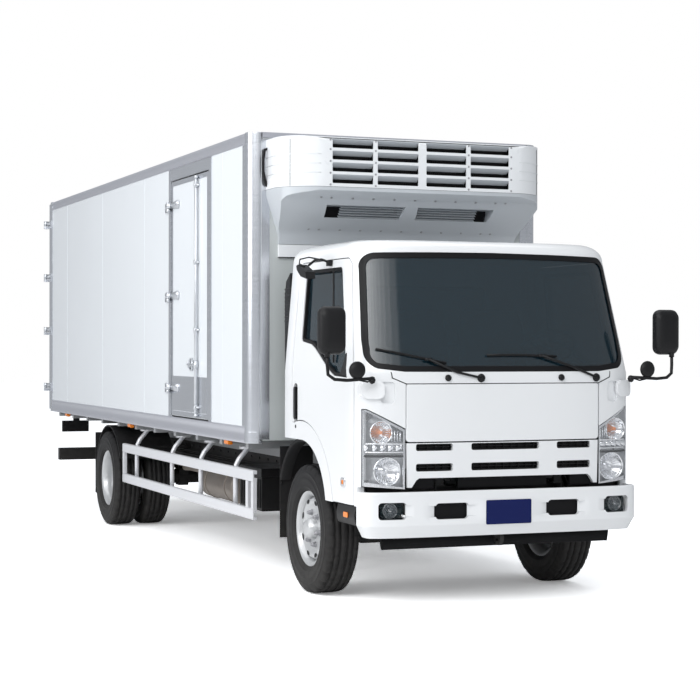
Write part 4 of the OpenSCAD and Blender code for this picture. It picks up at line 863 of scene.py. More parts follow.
# ---------------------------------------------------------------- windscreen
# One bonded curved pane with a black printed border, set in a rubber seal.
border = carve(shell_between(0.002, 0.007), pushed(screen_outline(-0.001), "y", -1.2, -0.50), "INTERSECT")
carve(border, pushed(screen_outline(-0.034), "y", -1.2, -0.50))
crisp(piece("windscreen_border", take(border), seal_rubber, "cab"), 0.001, 60)
pane = carve(shell_between(0.008, 0.014), pushed(screen_outline(-0.001), "y", -1.2, -0.50), "INTERSECT")
piece("windscreen", take(pane), tinted, "cab", ("cab_glass",))
rear_pane = Shape().push(round_box(-0.519, 1.561, 0.519, 1.959, 0.04), "y", 0.403, 0.409)
piece("rear_window", rear_pane.mesh("rear_window"), tinted, "cab")
seal = Shape()
outer, inside = round_box(-0.535, 1.545, 0.535, 1.975, 0.05), round_box(-0.495, 1.585, 0.495, 1.935, 0.03)
for y in (0.400, 0.4395):
    rows = [[(x, y, z) for x, z in outer], [(x, y, z) for x, z in inside]]
    seal.sheet(rows, around=True)
for ring in (outer, inside):
    seal.sheet([[(x, 0.400, z) for x, z in ring], [(x, 0.4395, z) for x, z in ring]], around=True)
piece("rear_window_seal", seal.mesh("rear_window_seal"), seal_rubber, "cab")

# ---------------------------------------------------------------- front panel
# The lid over the heater and wiper gear is hinged along its top; below it the fixed panel carries
# two rows of air slots. Both are pressed steel in the cab's white.


def skin_patch(outline, t0, t1, y1=-0.70):
    return carve(shell_between(t0, t1), pushed(outline, "y", -1.2, y1), "INTERSECT")


lid_shape = arc((lid_half - 0.012, lid_high - 0.012), 0.012, 0, 90,
                4) + arc((-lid_half + 0.012, lid_high - 0.012), 0.012, 90, 180, 4) \
    + arc((-lid_half + 0.020, lid_low + 0.020), 0.020, 180, 270, 4) + arc((lid_half - 0.020, lid_low + 0.020),
                                                                          0.020, 270, 360, 4)
lid = skin_patch(lid_shape, 0, 0.026)
crisp(piece("front_lid_panel", take(lid), cab_white, "front_lid", ("front_lid",)), 0.005, 38, 3)

panel_low = 0.782
half_panel = [(0.560, panel_low), (0.578, panel_low - 0.012), (0.606, 0.727), (0.632, 0.727),
              (lid_half - 0.003, lid_low - 0.007)]
panel_shape = [(-x, z) for x, z in reversed(half_panel)] + half_panel
panel = skin_patch(panel_shape, 0.002, 0.036)
for z0, z1 in ((0.822, 0.867), (0.943, 0.984)):
    carve(panel, pushed(round_box(-0.226, z0, 0.226, z1, 0.012), "y", -1.2, -0.80))
    for sign in (1, -1):
        carve(panel, pushed(round_box(min(0.346 * sign, 0.580 * sign), z0, max(0.346 * sign, 0.580 * sign),
                                      z1, 0.012), "y", -1.2, -0.80))
crisp(piece("air_panel", take(panel), cab_white, "cab", ("grille",)), 0.004, 38, 3)
vanes = Shape()
for z0, z1 in ((0.822, 0.867), (0.943, 0.984)):
    for i in range(3):
        z = z0 + 0.006 + i * (z1 - z0 - 0.010) / 2
        vanes.block((-0.60, -0.945, z - 0.0015), (0.60, -0.925, z + 0.0015))
    for i in range(25):
        x = -0.60 + i * 0.05
        vanes.block((x - 0.0015, -0.938, z0 - 0.01), (x + 0.0015, -0.926, z1 + 0.01))
vanes.block((-0.618, -0.922, 0.79), (0.618, -0.918, 0.99))
piece("slot_vanes", vanes.mesh("slot_vanes"), moulded, "cab", smooth=False)
# the deep lower apron between lamps and bumper, in shadow; its near-black is painted shade for that recess
apron = Shape()
for x0, x1 in ((-0.643, -0.455), (-0.295, 0.295), (0.455, 0.643)):
    apron.block((x0, -0.925, 0.718), (x1, -0.905, 0.840))
piece("lower_apron", apron.mesh("lower_apron"), black_steel_and_shade, "cab", smooth=False)

# ---------------------------------------------------------------- headlamps
# Each lamp is a chromed housing under a clear moulded cover: a round reflector above with an amber
# bulb, a bar of small lights, and a faceted round reflector for the main beam below.
chrome = finish("lamp_chrome", (0.80, 0.81, 0.83), rough=0.10, metal=1, vary=0.05, patch=14)
facets = finish("lamp_facets", (0.85, 0.86, 0.88), rough=0.07, metal=1, vary=0.10, patch=60)
satin = finish("lamp_satin", (0.42, 0.43, 0.45), rough=0.38, metal=0.6, vary=0.06, patch=20)
amber = finish("amber_lens", (0.80, 0.22, 0.02), rough=0.2, vary=0.1, patch=90)
clear = finish("clear_cover", (0.85, 0.88, 0.92), rough=0.03, vary=0.02, alpha=0.10)
for side, sign in (("left", 1), ("right", -1)):
    def m(outline):
        return [(x * sign, z) for x, z in outline]
    cover = skin_patch(m(lamp_outline(-0.002, 0.737)), 0.001, 0.005)
    piece(f"{side}_lamp_cover", take(cover), clear, "cab")
    rim = skin_patch(m(lamp_outline(-0.001, 0.735)), 0.006, 0.062)
    carve(rim, pushed(m(lamp_outline(-0.012, 0.747)), "y", -1.2, -0.5))
    crisp(piece(f"{side}_lamp_rim", take(rim), chrome, "cab"), 0.002, 40)
    back = skin_patch(m(lamp_outline(-0.004, 0.74)), 0.062, 0.070)
    piece(f"{side}_lamp_back", take(back), satin, "cab", ("headlamps",) if sign > 0 else ())
    bowl = Shape()

    def face_y(x):
        return cab_front + 0.308 - 0.308 * max(1 - (x / half_width(1.0)) ** 4, 0) ** 0.25

    # main beam bowl below, indicator bowl above
    for x, z, r, deep in ((0.748, 0.824, 0.078, 0.046), (0.782, 1.052, 0.064, 0.042)):
        y = face_y(x) + 0.016
        profile = [(deep, 0.0), (deep, r * 0.22), (deep * 0.75, r * 0.55), (deep * 0.35, r * 0.85), (0.0, r),
                   (-0.004, r * 1.03),
                   (-0.004, r * 1.10), (0.006, r * 1.10)]
        bowl.spin(profile, (x * sign, y, z), (0, 1, 0), 40, 1, closed=False)
        bowl.spin([(-0.002, 0), (-0.002, 0.010), (deep * 0.8, 0.014), (deep, 0.014)],
                  (x * sign, y + 0.004, z), (0, 1, 0), 20,
                  2 if z > 0.95 else 0, closed=False)
        for k in range(24):
            a = math.pi * 2 * k / 24
            bowl.tube([(x * sign + r * 0.35 * math.cos(a), y + deep * 0.84, z + r * 0.35 * math.sin(a)),
                       (x * sign + r * 0.92 * math.cos(a), y + deep * 0.16, z + r * 0.92 * math.sin(a))],
                      0.0012, 4, 1)
    # the bar of lights across the middle, with its dividers
    for i in range(5):
        x0 = 0.662 + i * 0.044
        y = face_y(x0 + 0.02) + 0.014
        bowl.block((min(x0 * sign, (x0 + 0.036) * sign), y, 0.944),
                   (max(x0 * sign, (x0 + 0.036) * sign), y + 0.02, 0.980), 1)
    for z in (0.936, 0.986):
        points = [(x * sign, face_y(x) + 0.010, z) for x in [0.655 + 0.018 * i for i in range(13)]]
        bowl.tube(points, 0.005, 8, 0)
    bowl.tube([(x * sign, face_y(x) + 0.012, 0.914) for x in [0.655 + 0.018 * i for i in range(13)]], 0.008,
              8, 3)
    # upright fins in the upper inner corner
    for i in range(4):
        x = 0.668 + i * 0.016
        bowl.block((min(x * sign, (x + 0.004) * sign), face_y(x) + 0.02, 0.995),
                   (max(x * sign, (x + 0.004) * sign), face_y(x) + 0.05, 1.055 + i * 0.006), 0)
    piece(f"{side}_lamp_bowls", bowl.mesh(f"{side}_lamp_bowls"), [chrome, facets, amber, black_steel_and_shade], "cab")

# small indicators on the doors' front edge, each an amber light in a bright surround
for side, sign in (("left", 1), ("right", -1)):
    repeater = Shape()
    repeater.push(round_box(-0.700, 0.722, -0.628, 0.776, 0.016), "x", 0.920 * sign, 0.934 * sign)
    crisp(piece(f"{side}_repeater", repeater.mesh(f"{side}_repeater"), chrome, f"cab_door_{side}"),
          0.005)
    bulb = Shape()
    bulb.push(round_box(-0.680, 0.736, -0.650, 0.762, 0.010), "x", 0.9335 * sign, 0.9355 * sign)
    piece(f"{side}_repeater_bulb", bulb.mesh(f"{side}_repeater_bulb"), amber, f"cab_door_{side}")

# ---------------------------------------------------------------- bumper
# A pressed steel bumper in body white with rounded ends and a crease low down. Fog lamps sit in
# its outer holes, the towing eyes are reached through the inner ones.
bumper_half, bumper_front, wing_y = 0.910, -1.008, -0.832


def bumper_line(t, z):
    """The bumper in plan at one height, drawn in by t; it tucks in below its crease and at its top."""
    if z < 0.508:
        t = t + (0.508 - z) * 0.50
    if z > 0.690:
        t = t + 0.010 * (1 - math.sqrt(max(1 - ((z - 0.690) / 0.018) ** 2, 0)))
    a, b, yc = bumper_half - t, 0.150, bumper_front + 0.150
    half = []
    for i in range(25):
        s = math.pi / 2 * i / 24
        x = a * math.sin(s) ** 0.42
        y = yc - (b - t) * max(math.cos(s), 0) ** 0.42
        half.append((x, y))
    half.append((a, wing_y))
    return [(-x, y) for x, y in reversed(half)] + half[1:]


def bumper_form(t, low, high):
    shape = Shape()
    heights = [z for z in (0.435, 0.438, 0.445, 0.470, 0.503, 0.508, 0.513, 0.56, 0.62, 0.68, 0.692, 0.700,
                           0.704, 0.706) if low <= z <= high]
    heights = sorted(set([low] + heights + [high]))
    rows = []
    for z in heights:
        line = bumper_line(t, z)
        rows.append([(x, y, z) for x, y in line] + [(line[-1][0], wing_y + (0.05 if t else 0), z),
                                                    (line[0][0], wing_y + (0.05 if t else 0), z)])
    grid = shape.sheet(rows, around=True)
    shape.bm.faces.new(grid[0][::-1])
    shape.bm.faces.new(grid[-1])
    return loose(shape.mesh("bumper_form"))


bar = bumper_form(0, 0.435, 0.706)
carve(bar, bumper_form(0.026, 0.40, 0.75))
for sign in (1, -1):
    carve(bar, pushed([(x * sign, z) for x, z in round_box(0.264, 0.541, 0.477, 0.636, 0.022)], "y", -1.1,
                      -0.90))
    carve(bar, pushed([(x * sign, z) for x, z in round_box(0.660, 0.546, 0.830, 0.646, 0.022)], "y", -1.1,
                      -0.86))
for sign in (1, -1):
    for x0, x1, z0, z1 in ((0.272, 0.206, 0.556, 0.622), (0.468, 0.530, 0.556, 0.622),
                           (0.672, 0.600, 0.562, 0.630)):
        carve(bar, pushed([(x0 * sign, -0.980), (x1 * sign, -1.0095), (x0 * sign, -1.0095)], "z", z0, z1))
crisp(piece("bumper_pressing", take(bar), cab_white, "chassis", ("front_bumper",)), 0.0045, 38,
      3)
stays = Shape()
stays.block((0.300, -0.981, 0.487), (0.380, -0.9305, 0.540))
stays.block((0.20, -0.972, 0.50), (0.55, -0.962, 0.66))
stays.mirrored()
piece("bumper_stays", stays.mesh("bumper_stays"), black_steel_and_shade, "chassis", smooth=False)
smoked = finish("smoked_cover", (0.02, 0.035, 0.04), rough=0.05, vary=0.05, alpha=0.35)
fog = Shape()
for sign in (1, -1):
    y = -0.955
    fog.push([(x * sign, z) for x, z in round_box(0.656, 0.542, 0.834, 0.650, 0.020)], "y", -0.912, -0.906, 0)
    profile = [(0.036, 0.0), (0.036, 0.012), (0.024, 0.030), (0.0, 0.040), (-0.006, 0.041), (-0.006, 0.045),
               (0.008, 0.045)]
    fog.spin(profile, (0.748 * sign, y, 0.596), (0, 1, 0), 32, 1, closed=False)
    fog.spin([(-0.008, 0.0), (-0.006, 0.012), (0.03, 0.014)], (0.748 * sign, y, 0.596), (0, 1, 0), 16, 1,
             closed=False)
    fog.block((min(0.668 * sign, 0.820 * sign), -0.950, 0.556),
              (max(0.668 * sign, 0.820 * sign), -0.940, 0.562), 0)
    lens = Shape()
    lens.push([(x * sign, z) for x, z in round_box(0.664, 0.549, 0.812, 0.643, 0.018)], "y", -0.966, -0.962)
    piece(f"fog_lens_{'left' if sign > 0 else 'right'}", lens.mesh("fog_lens"), smoked, "chassis")
piece("fog_lamps", fog.mesh("fog_lamps"), [moulded, chrome], "chassis")
# the lower valance that hangs under the bumper; its near-black is partly its own black and partly painted
# shade under the bumper
valance = Shape()
rows = []
for z, t in ((0.356, 0.160), (0.358, 0.156), (0.39, 0.150), (0.440, 0.145)):
    rows.append([(x, y, z) for x, y in bumper_line(t, 0.52)])
valance.sheet(rows)
skirt = piece("front_valance", valance.mesh("front_valance"), black_steel_and_shade, "chassis")
thick = skirt.modifiers.new("thickness", "SOLIDIFY")
thick.thickness = 0.004
thick.offset = -1
# blank plate on its two screws
navy = finish("plate_navy", (0.006, 0.012, 0.085), rough=0.5, vary=0.05, bump=0.05, spec=0.15)
plate = Shape().push(round_box(-0.150, 0.501, 0.150, 0.646, 0.008), "y", -1.012, -1.0083)
crisp(piece("blank_plate", plate.mesh("blank_plate"), navy, "chassis", ("number_plate",)),
      0.001)
plate_edge = Shape()
ring_out, ring_in = round_box(-0.1495, 0.5015, 0.1495, 0.6455, 0.008), round_box(-0.142, 0.509, 0.142, 0.638,
                                                                                 0.005)
plate_edge.sheet([[(x, -1.0115, z) for x, z in ring_out], [(x, -1.01195, z) for x, z in ring_in]],
                 around=True)
plate_edge.hexes([(-0.105, -1.0095, 0.573), (0.105, -1.0095, 0.573)], (0, -1, 0), 0.008, 0.0024)
piece("plate_edge", plate_edge.mesh("plate_edge"), navy, "chassis")

# ---------------------------------------------------------------- cab front details
# The dark seams at the cowl's ends, the wiper arms and blades, washer nozzles, and the white boss
# at each corner that carries the mirror arm.
for sign in (1, -1):
    seam = skin_patch([(x * sign, z) for x,
                       z in ((0.640, 1.341), (0.722, 1.375), (0.728, 1.409), (0.733, 1.409), (0.728, 1.371),
                             (0.643, 1.336))], -0.0006, 0.004)
    piece(f"cowl_seam_{'left' if sign > 0 else 'right'}", take(seam), black_steel_and_shade, "cab",
          smooth=False)


def on_screen(x, z, out):
    """A place that far outside the cab's curved front."""
    a = half_width(z)
    return (x, front_face(z) + 0.308 - 0.308 * max(1 - (abs(x) / a) ** 4, 0) ** 0.25 - out, z)


wipers = Shape()
for pivot, elbow, grip, blade in (((-0.165, 1.371), (-0.329, 1.407), (-0.500, 1.484),
                                   [(-0.387, 1.461), (-0.50, 1.484), (-0.608, 1.506), (-0.71, 1.527),
                                    (-0.805, 1.545)]),
                                  ((0.622, 1.371), (0.430, 1.445), (0.250, 1.505),
                                   [(0.353, 1.501), (0.250, 1.505), (0.120, 1.509), (0.0, 1.509),
                                    (-0.114, 1.508)])):
    low = on_screen(*pivot, 0)
    wipers.rod(low, (low[0], low[1] - 0.020, low[2]), 0.018, 20)
    wipers.spin([(0, 0.026), (0.006, 0.024), (0.008, 0.018)], (low[0], low[1] - 0.001, low[2]), (0, -1, 0),
                20, closed=False)
    wipers.tube([on_screen(*pivot, 0.016), on_screen(*elbow, 0.014), on_screen(*grip, 0.016)], 0.0075, 8)
    wipers.tube([on_screen(x, z, 0.008) for x, z in blade], 0.0055, 8)
    wipers.tube([on_screen(x, z - 0.006, 0.001) for x, z in blade], 0.0035, 6)
    hold = on_screen(*grip, 0.012)
    wipers.block((hold[0] - 0.022, hold[1] - 0.008, hold[2] - 0.009),
                 (hold[0] + 0.022, hold[1] + 0.006, hold[2] + 0.008))
piece("wiper_gear", wipers.mesh("wiper_gear"), moulded, "cab", ("wipers",))
nozzles = Shape()
for x in (-0.381, 0.373):
    nozzles.spin([(0, 0.020), (0.006, 0.020), (0.012, 0.014), (0.015, 0.006), (0.015, 0)],
                 (x, cab_front, 1.372), (0, -1, 0.2), 20, closed=False)
piece("washer_nozzles", nozzles.mesh("washer_nozzles"), moulded, "cab")

mirror_glass = finish("mirror_silver", (0.75, 0.78, 0.80), rough=0.02, metal=1, vary=0.01)
for side, sign in (("left", 1), ("right", -1)):
    head = Shape()
    outline = round_box(1.030, 1.510, 1.195, 1.790, 0.045, 8)
    centre = Vector((1.1125, 0, 1.650))
    rows = []
    for y, s in ((-0.934, 0.93), (-0.930, 0.985), (-0.945, 1.0), (-0.965, 0.985), (-0.985, 0.90),
                 (-0.996, 0.72), (-1.000, 0.35)):
        rows.append([((centre.x + (x - centre.x) * s) * sign, y, centre.z + (z - centre.z) * s) for x,
                     z in outline])
    grid = head.sheet(rows, around=True)
    head.bm.faces.new(grid[0])
    head.bm.faces.new(grid[-1][::-1])
    piece(f"{side}_mirror_head", head.mesh(f"{side}_mirror_head"), moulded, "cab",
          ("mirrors",) if sign > 0 else ())
    pane = Shape()
    pane.push([((centre.x + (x - centre.x) * 0.90) * sign, centre.z + (z - centre.z) * 0.93) for x,
               z in outline], "y", -0.9335, -0.9325)
    piece(f"{side}_mirror_pane", pane.mesh(f"{side}_mirror_pane"), mirror_glass, "cab")
    arm = Shape()
    arm.tube([(0.862 * sign, -0.955, 1.345), (0.870 * sign, -0.975, 1.372), (0.93 * sign, -0.985, 1.368),
              (1.03 * sign, -0.985, 1.362),
              (1.105 * sign, -0.978, 1.368), (1.142 * sign, -0.972, 1.395), (1.146 * sign, -0.970, 1.45),
              (1.146 * sign, -0.968, 1.53)], 0.010, 12)
    arm.spin([(-0.022, 0), (-0.018, 0.014), (0, 0.021), (0.018, 0.014), (0.022, 0)],
             (0.862 * sign, -0.958, 1.362), (0, 0, 1), 20, closed=False)
    arm.spin([(-0.02, 0.0), (-0.02, 0.016), (0.02, 0.016), (0.02, 0.0)], (1.146 * sign, -0.968, 1.515),
             (0, 0, 1), 20, closed=False)
    # the small round close-view mirror on its wire
    arm.tube([(0.868 * sign, -0.970, 1.366), (0.905 * sign, -0.990, 1.352), (0.955 * sign, -0.990, 1.362),
              (0.985 * sign, -0.985, 1.392)], 0.005, 8)
    arm.spin([(0.006, 0.0), (0.006, 0.048), (0.0, 0.052), (-0.010, 0.046), (-0.018, 0.03), (-0.021, 0.0)],
             (0.965 * sign, -0.982, 1.420), (0, 1, 0), 32, closed=False)
    piece(f"{side}_mirror_arm", arm.mesh(f"{side}_mirror_arm"), moulded, "cab")
    boss = skin_patch([(x * sign, z) for x, z in round_box(0.778, 1.252, 0.902, 1.354, 0.034)], -0.024, 0.004)
    crisp(piece(f"{side}_mirror_boss", take(boss), cab_white, "cab"), 0.006, 38, 3)
    # the triangular sail behind the windscreen pillar
    sail = Shape()
    sail.push([(-0.700, 1.385), (-0.585, 1.392), (-0.690, 1.520)], "x", 0.9155 * sign, 0.9215 * sign)
    crisp(piece(f"{side}_sail", sail.mesh(f"{side}_sail"), moulded, f"cab_door_{side}"),
          0.002)

# the kerb mirror above the right-hand door, on a wire loop
kerb = Shape()
kerb.block((-0.900, -0.335, 2.052), (-0.872, -0.295, 2.088))
kerb.tube([(-0.890, -0.315, 2.075), (-0.930, -0.300, 2.092), (-0.962, -0.262, 2.088),
           (-0.985, -0.215, 2.058)], 0.008, 10)
kerb.tube([(-0.940, -0.292, 2.092), (-0.985, -0.225, 2.108), (-1.020, -0.155, 2.098), (-1.024, -0.150, 2.070),
           (-1.000, -0.190, 2.052)], 0.005, 8)
kerb.push([(-0.292, 1.972), (-0.278, 2.016), (-0.140, 2.066), (-0.112, 2.058), (-0.120, 2.034),
           (-0.190, 1.990)], "x", -1.030, -0.968)
crisp(piece("kerb_mirror", kerb.mesh("kerb_mirror"), moulded, "cab_door_right"), 0.004)

# ---------------------------------------------------------------- air intake and steps
# A moulded air intake duct up the back of the cab on the right, with a louvred mouth at its top,
# and black steps below the doors with amber reflectors on their sides.
duct = Shape()
duct.push([(0.4403, 1.180), (0.520, 1.180), (0.545, 1.205), (0.545, 1.900), (0.522, 1.985), (0.4403, 2.040)],
          "x", -0.875, -0.745)
for i in range(9):
    duct.block((-0.878, 0.455, 1.72 + i * 0.026), (-0.742, 0.549, 1.73 + i * 0.026))
crisp(piece("intake_duct", duct.mesh("intake_duct"), moulded, "cab", ("air_intake_duct",)),
      0.006)
for side, sign in (("left", 1), ("right", -1)):
    step = Shape()
    rows = []
    for z, x in ((0.612, 0.905), (0.56, 0.915), (0.520, 0.912), (0.500, 0.900)):
        rows.append([(x * sign, y, z) for y in (-0.815, -0.72, -0.62, -0.520)])
    step.sheet(rows)
    step.block((min(0.70 * sign, 0.905 * sign), -0.812, 0.520),
               (max(0.70 * sign, 0.905 * sign), -0.520, 0.545))
    for i in range(8):
        step.block((min(0.72 * sign, 0.90 * sign), -0.79 + i * 0.033, 0.545),
                   (max(0.72 * sign, 0.90 * sign), -0.778 + i * 0.033, 0.549))
    made = piece(f"{side}_step_cover", step.mesh(f"{side}_step_cover", tidy=False), moulded, "cab")
    reflector = Shape()
    reflector.push(round_box(-0.712, 0.540, -0.645, 0.572, 0.008), "x", 0.914 * sign, 0.921 * sign)
    crisp(piece(f"{side}_step_reflector", reflector.mesh(f"{side}_step_reflector"), amber, "cab"),
          0.002)
    # black rubber lip around the wheel arch
    lip_shape = Shape()
    points = [(0.9085 * sign, y, z) for y, z in arc((arch_y, arch_z), arch_r + 0.002, 22, 168, 40)]
    rows = []
    for (x, y, z) in points:
        out = Vector((0, y - arch_y, z - arch_z)).normalized()
        p = Vector((x, y, z))
        rows.append([tuple(p + out * a + Vector((b * sign, 0, 0))) for a, b in
                     ((-0.016, -0.06), (-0.016, 0.004), (-0.012, 0.010), (0.0, 0.012), (0.006, 0.012),
                      (0.006, -0.06))])
    lip_shape.sheet(rows)
    piece(f"{side}_arch_lip", lip_shape.mesh(f"{side}_arch_lip"), rubber, "cab")
# wheel housings and floor, in underbody black
dress("cab_floor", chassis_paint)

# ---------------------------------------------------------------- cab inside
# Grey moulded dashboard, black steering wheel, and three woven seats with stitched panels.
dash_look = finish("dash_plastic", (0.09, 0.095, 0.105), rough=0.6, bump=0.3, grain=500)
dress("dashboard", dash_look)
dash_top = Shape()
for i in range(4):
    dash_top.rod((-0.30 + i * 0.2, -0.60, 1.33), (-0.30 + i * 0.2, -0.588, 1.325), 0.04, 24)
for x in (0.40, 0.53):
    dash_top.rod((x, -0.585, 1.355), (x, -0.572, 1.352), 0.05, 28)
piece("dash_vents", dash_top.mesh("dash_vents"), moulded, "cab")
wheel = Shape()
hub = Vector((0.480, -0.560, 1.530))
dir_up = Vector((0, 0.61566, 0.78801))
dir_side = Vector((1, 0, 0))
dir_in = dir_up.cross(dir_side)
ring = [hub + dir_side * (0.191 * math.cos(a)) + dir_in * (0.191 * math.sin(a))
        for a in [2 * math.pi * i / 48 for i in range(48)]]
wheel.tube(ring, 0.0135, 12, closed=True)
wheel.spin([(-0.045, 0), (-0.045, 0.040), (-0.01, 0.060), (0.004, 0.058), (0.010, 0.045), (0.010, 0)], hub,
           dir_up, 32, closed=False)
for a in (90, 215, 325):
    b = math.radians(a)
    way = dir_side * math.cos(b) + dir_in * math.sin(b)
    wheel.tube([hub + way * 0.04 - dir_up * 0.01, hub + way * 0.12 - dir_up * 0.016, hub + way * 0.185],
               0.011, 10)
piece("hand_wheel", wheel.mesh("hand_wheel"), moulded, "steering_wheel", ("steering_wheel",))

seat_cloth = finish("seat_cloth", (0.10, 0.105, 0.12), rough=0.9, bump=0.9, grain=700, vary=0.2, patch=30)
seat_cloth.node_tree.nodes["Principled BSDF"].inputs["Sheen Weight"].default_value = 0.3


def pad(rows, name):
    """A stuffed cushion through rows of points, rounded by subdivision."""
    shape = Shape()
    grid = shape.sheet(rows, around=True)
    shape.bm.faces.new(grid[0][::-1])
    shape.bm.faces.new(grid[-1])
    made = piece(name, shape.mesh(name), seat_cloth, "cab")
    smooth = made.modifiers.new("round", "SUBSURF")
    smooth.levels = 2
    smooth.render_levels = 2
    return made


for number, (x, w) in enumerate(((0.480, 0.500), (-0.060, 0.430), (-0.510, 0.430))):
    rows = []
    for i in range(7):
        u = -1 + i / 3
        crown = 0.018 * (1 - u * u)
        bolster = 0.014 if abs(u) > 0.6 else 0.0
        s = 1.0 if abs(u) < 0.95 else 0.90
        px = x + u * w / 2 * 0.99
        rows.append([(px, -0.325, 1.300), (px, -0.310 * s, 1.365 + bolster),
                     (px, -0.10, 1.372 + crown * 0.4 + bolster), (px, 0.09, 1.366 + bolster),
                     (px, 0.130, 1.30), (px, 0.10, 1.20), (px, -0.31, 1.20)])
    pad(rows, f"seat_cushion_{number + 1}")
    rows = []
    for i in range(7):
        u = -1 + i / 3
        bolster = 0.020 if abs(u) > 0.6 else 0.0
        px = x + u * w / 2 * 0.97
        rows.append([(px, 0.118 - bolster, 1.385), (px, 0.150 - bolster, 1.52), (px, 0.190 - bolster, 1.66),
                     (px, 0.228, 1.78), (px, 0.262, 1.810),
                     (px, 0.305, 1.79), (px, 0.290, 1.65), (px, 0.235, 1.42), (px, 0.205, 1.36),
                     (px, 0.150, 1.36)])
    pad(rows, f"seat_back_{number + 1}")
base = Shape()
for x, w in ((0.480, 0.500), (-0.060, 0.430), (-0.510, 0.430)):
    base.block((x - w / 2 + 0.03, -0.31, 1.0803), (x + w / 2 - 0.03, 0.14, 1.215))
crisp(piece("seat_boxes", base.mesh("seat_boxes"), dash_look, "cab", ("seats",)), 0.01)

# ---------------------------------------------------------------- mudguard edges and bolts
# The rolled edges of the guards over the twin wheels, and the bolts that hold flaps and guards to
# their stays. All are of the guards' own black plastic and steel.
guard_trim = Shape()
for sign in (1, -1):
    for x in (0.592, 1.061):
        guard_trim.tube([(x * sign, wheelbase + 0.4555 * math.cos(a), tyre_r + 0.4555 * math.sin(a))
                         for a in [math.radians(26 + 128 * i / 30) for i in range(31)]], 0.006, 8)
    for y in (wheelbase + 0.520, 0.494):
        for i in range(3):
            for z in (0.66, 0.69):
                guard_trim.hexes([((0.75 + i * 0.08) * sign, y, z)], (0, -1, 0), 0.008, 0.005)
piece("guard_edges", guard_trim.mesh("guard_edges"), moulded, "chassis")

# ---------------------------------------------------------------- side guards
# Two aluminium rails a side with square end frames, held on tubes that curve inwards and up to
# the box's bearers.
guard_metal = finish("guard_aluminium", (0.78, 0.79, 0.82), rough=0.30, metal=0.35, bump=0.2, grain=20,
                     stretch=(1, 0.2, 12), vary=0.05, dust=0.1)
guard = Shape()
gx1 = 1.055
gx0 = gx1 - 0.030
g0, g1 = 0.664, 4.187
rail_shape = [(gx0, 0), (gx1 - 0.006, 0), (gx1, 0.006), (gx1, 0.069), (gx1 - 0.006, 0.075), (gx0, 0.075),
              (gx0, 0.050),
              (gx1 - 0.010, 0.050), (gx1 - 0.010, 0.025), (gx0, 0.025)]
for z in (0.402, 0.657):
    guard.push([(x, z + h) for x, h in rail_shape], "y", g0, g1)
for a, b in ((g0, g0 + 0.045), (g0 + 0.115, g0 + 0.160), (g1 - 0.045, g1)):
    guard.block((gx0 + 0.001, a, 0.477), (gx1 - 0.001, b, 0.657))
guard.mirrored()
crisp(piece("guard_rails", guard.mesh("guard_rails"), guard_metal, "chassis",
            ("side_guards",), smooth=False), 0.002)
posts = Shape()
for y in (1.218, 2.058, 2.837, 3.921):
    posts.tube([(0.998, y, 0.41), (0.998, y, 0.70), (0.992, y, 0.735), (0.972, y, 0.775), (0.93, y, 0.822),
                (0.90, y, 0.858)], 0.017, 14)
    posts.block((0.995, y - 0.020, 0.410), (gx0, y + 0.020, 0.470))
    posts.block((0.995, y - 0.020, 0.665), (gx0, y + 0.020, 0.725))
    posts.block((0.86, y - 0.035, 0.845), (0.96, y + 0.035, 0.8655))
posts.mirrored()
piece("guard_posts", posts.mesh("guard_posts"), guard_metal, "chassis")

# ---------------------------------------------------------------- box floor and bearers
# Pressed cross bearers under an insulated floor; the load floor itself is ribbed aluminium.
floor_metal = finish("floor_aluminium", (0.45, 0.46, 0.47), rough=0.5, metal=0.7, bump=0.5, grain=30,
                     stretch=(8, 0.3, 1), dust=0.3)
dress("box_floor", floor_metal)
ribs = Shape()
for i in range(48):
    x = -0.97 + i * 0.0413
    ribs.block((x - 0.006, 0.80, 1.0195), (x + 0.006, 6.94, 1.0225))
piece("load_floor_ribs", ribs.mesh("load_floor_ribs"), floor_metal, "chassis", smooth=False)

# ---------------------------------------------------------------- box walls
# Sandwich panels of foam between thin white composite skins, glued into an aluminium and
# stainless frame. The skins are nearly flat, with a faint ripple.
panel_skin = finish("panel_skin", (0.79, 0.825, 0.86), rough=0.24, coat=0.3, vary=0.015, patch=0.7, bump=0.10,
                    grain=2.2)
for node in ("box_front_wall", "box_left_wall", "box_right_wall", "box_roof"):
    dress(node, panel_skin)
seams = Shape()
for y in (1.30, 3.408, 4.85, 6.283):
    seams.block((-1.0712, y - 0.0012, 1.022), (-1.0698, y + 0.0012, 2.905), 0)
    seams.block((1.0698, y - 0.0012, 1.022), (1.0712, y + 0.0012, 2.905), 0)
piece("panel_joints", seams.mesh("panel_joints"), panel_skin, "chassis", smooth=False)

# ---------------------------------------------------------------- box edging
# Extruded aluminium rails along the top and bottom edges, round stainless corner posts with
# pressed caps, and blind rivets every hand's width.
steel_trim = finish("stainless_trim", (0.62, 0.64, 0.68), rough=0.24, metal=0.9, vary=0.06, bump=0.15,
                    grain=12, stretch=(1, 1, 18))
rail_metal = finish("rail_aluminium", (0.56, 0.57, 0.62), rough=0.34, metal=0.75, vary=0.04, bump=0.12,
                    grain=10, stretch=(1, 0.15, 10))
box_half = 1.075
box_y0, frame_y = 0.696, 6.953
top_shape = [(0.990, 2.9063), (box_half - 0.001, 2.9063), (box_half, 2.909), (box_half, 2.925),
             (box_half - 0.003, 2.930), (box_half - 0.003, 2.955),
             (box_half, 2.960), (box_half, 2.972), (box_half - 0.006, 2.983), (box_half - 0.018, 2.987),
             (0.990, 2.987)]
low_shape = [(1.0353, 0.908), (box_half - 0.002, 0.908), (box_half, 0.911), (box_half, 0.940),
             (box_half - 0.003, 0.944), (box_half - 0.003, 0.992),
             (box_half, 0.996), (box_half, 1.016), (box_half - 0.003, 1.0197), (1.0353, 1.0197)]
edging = Shape()
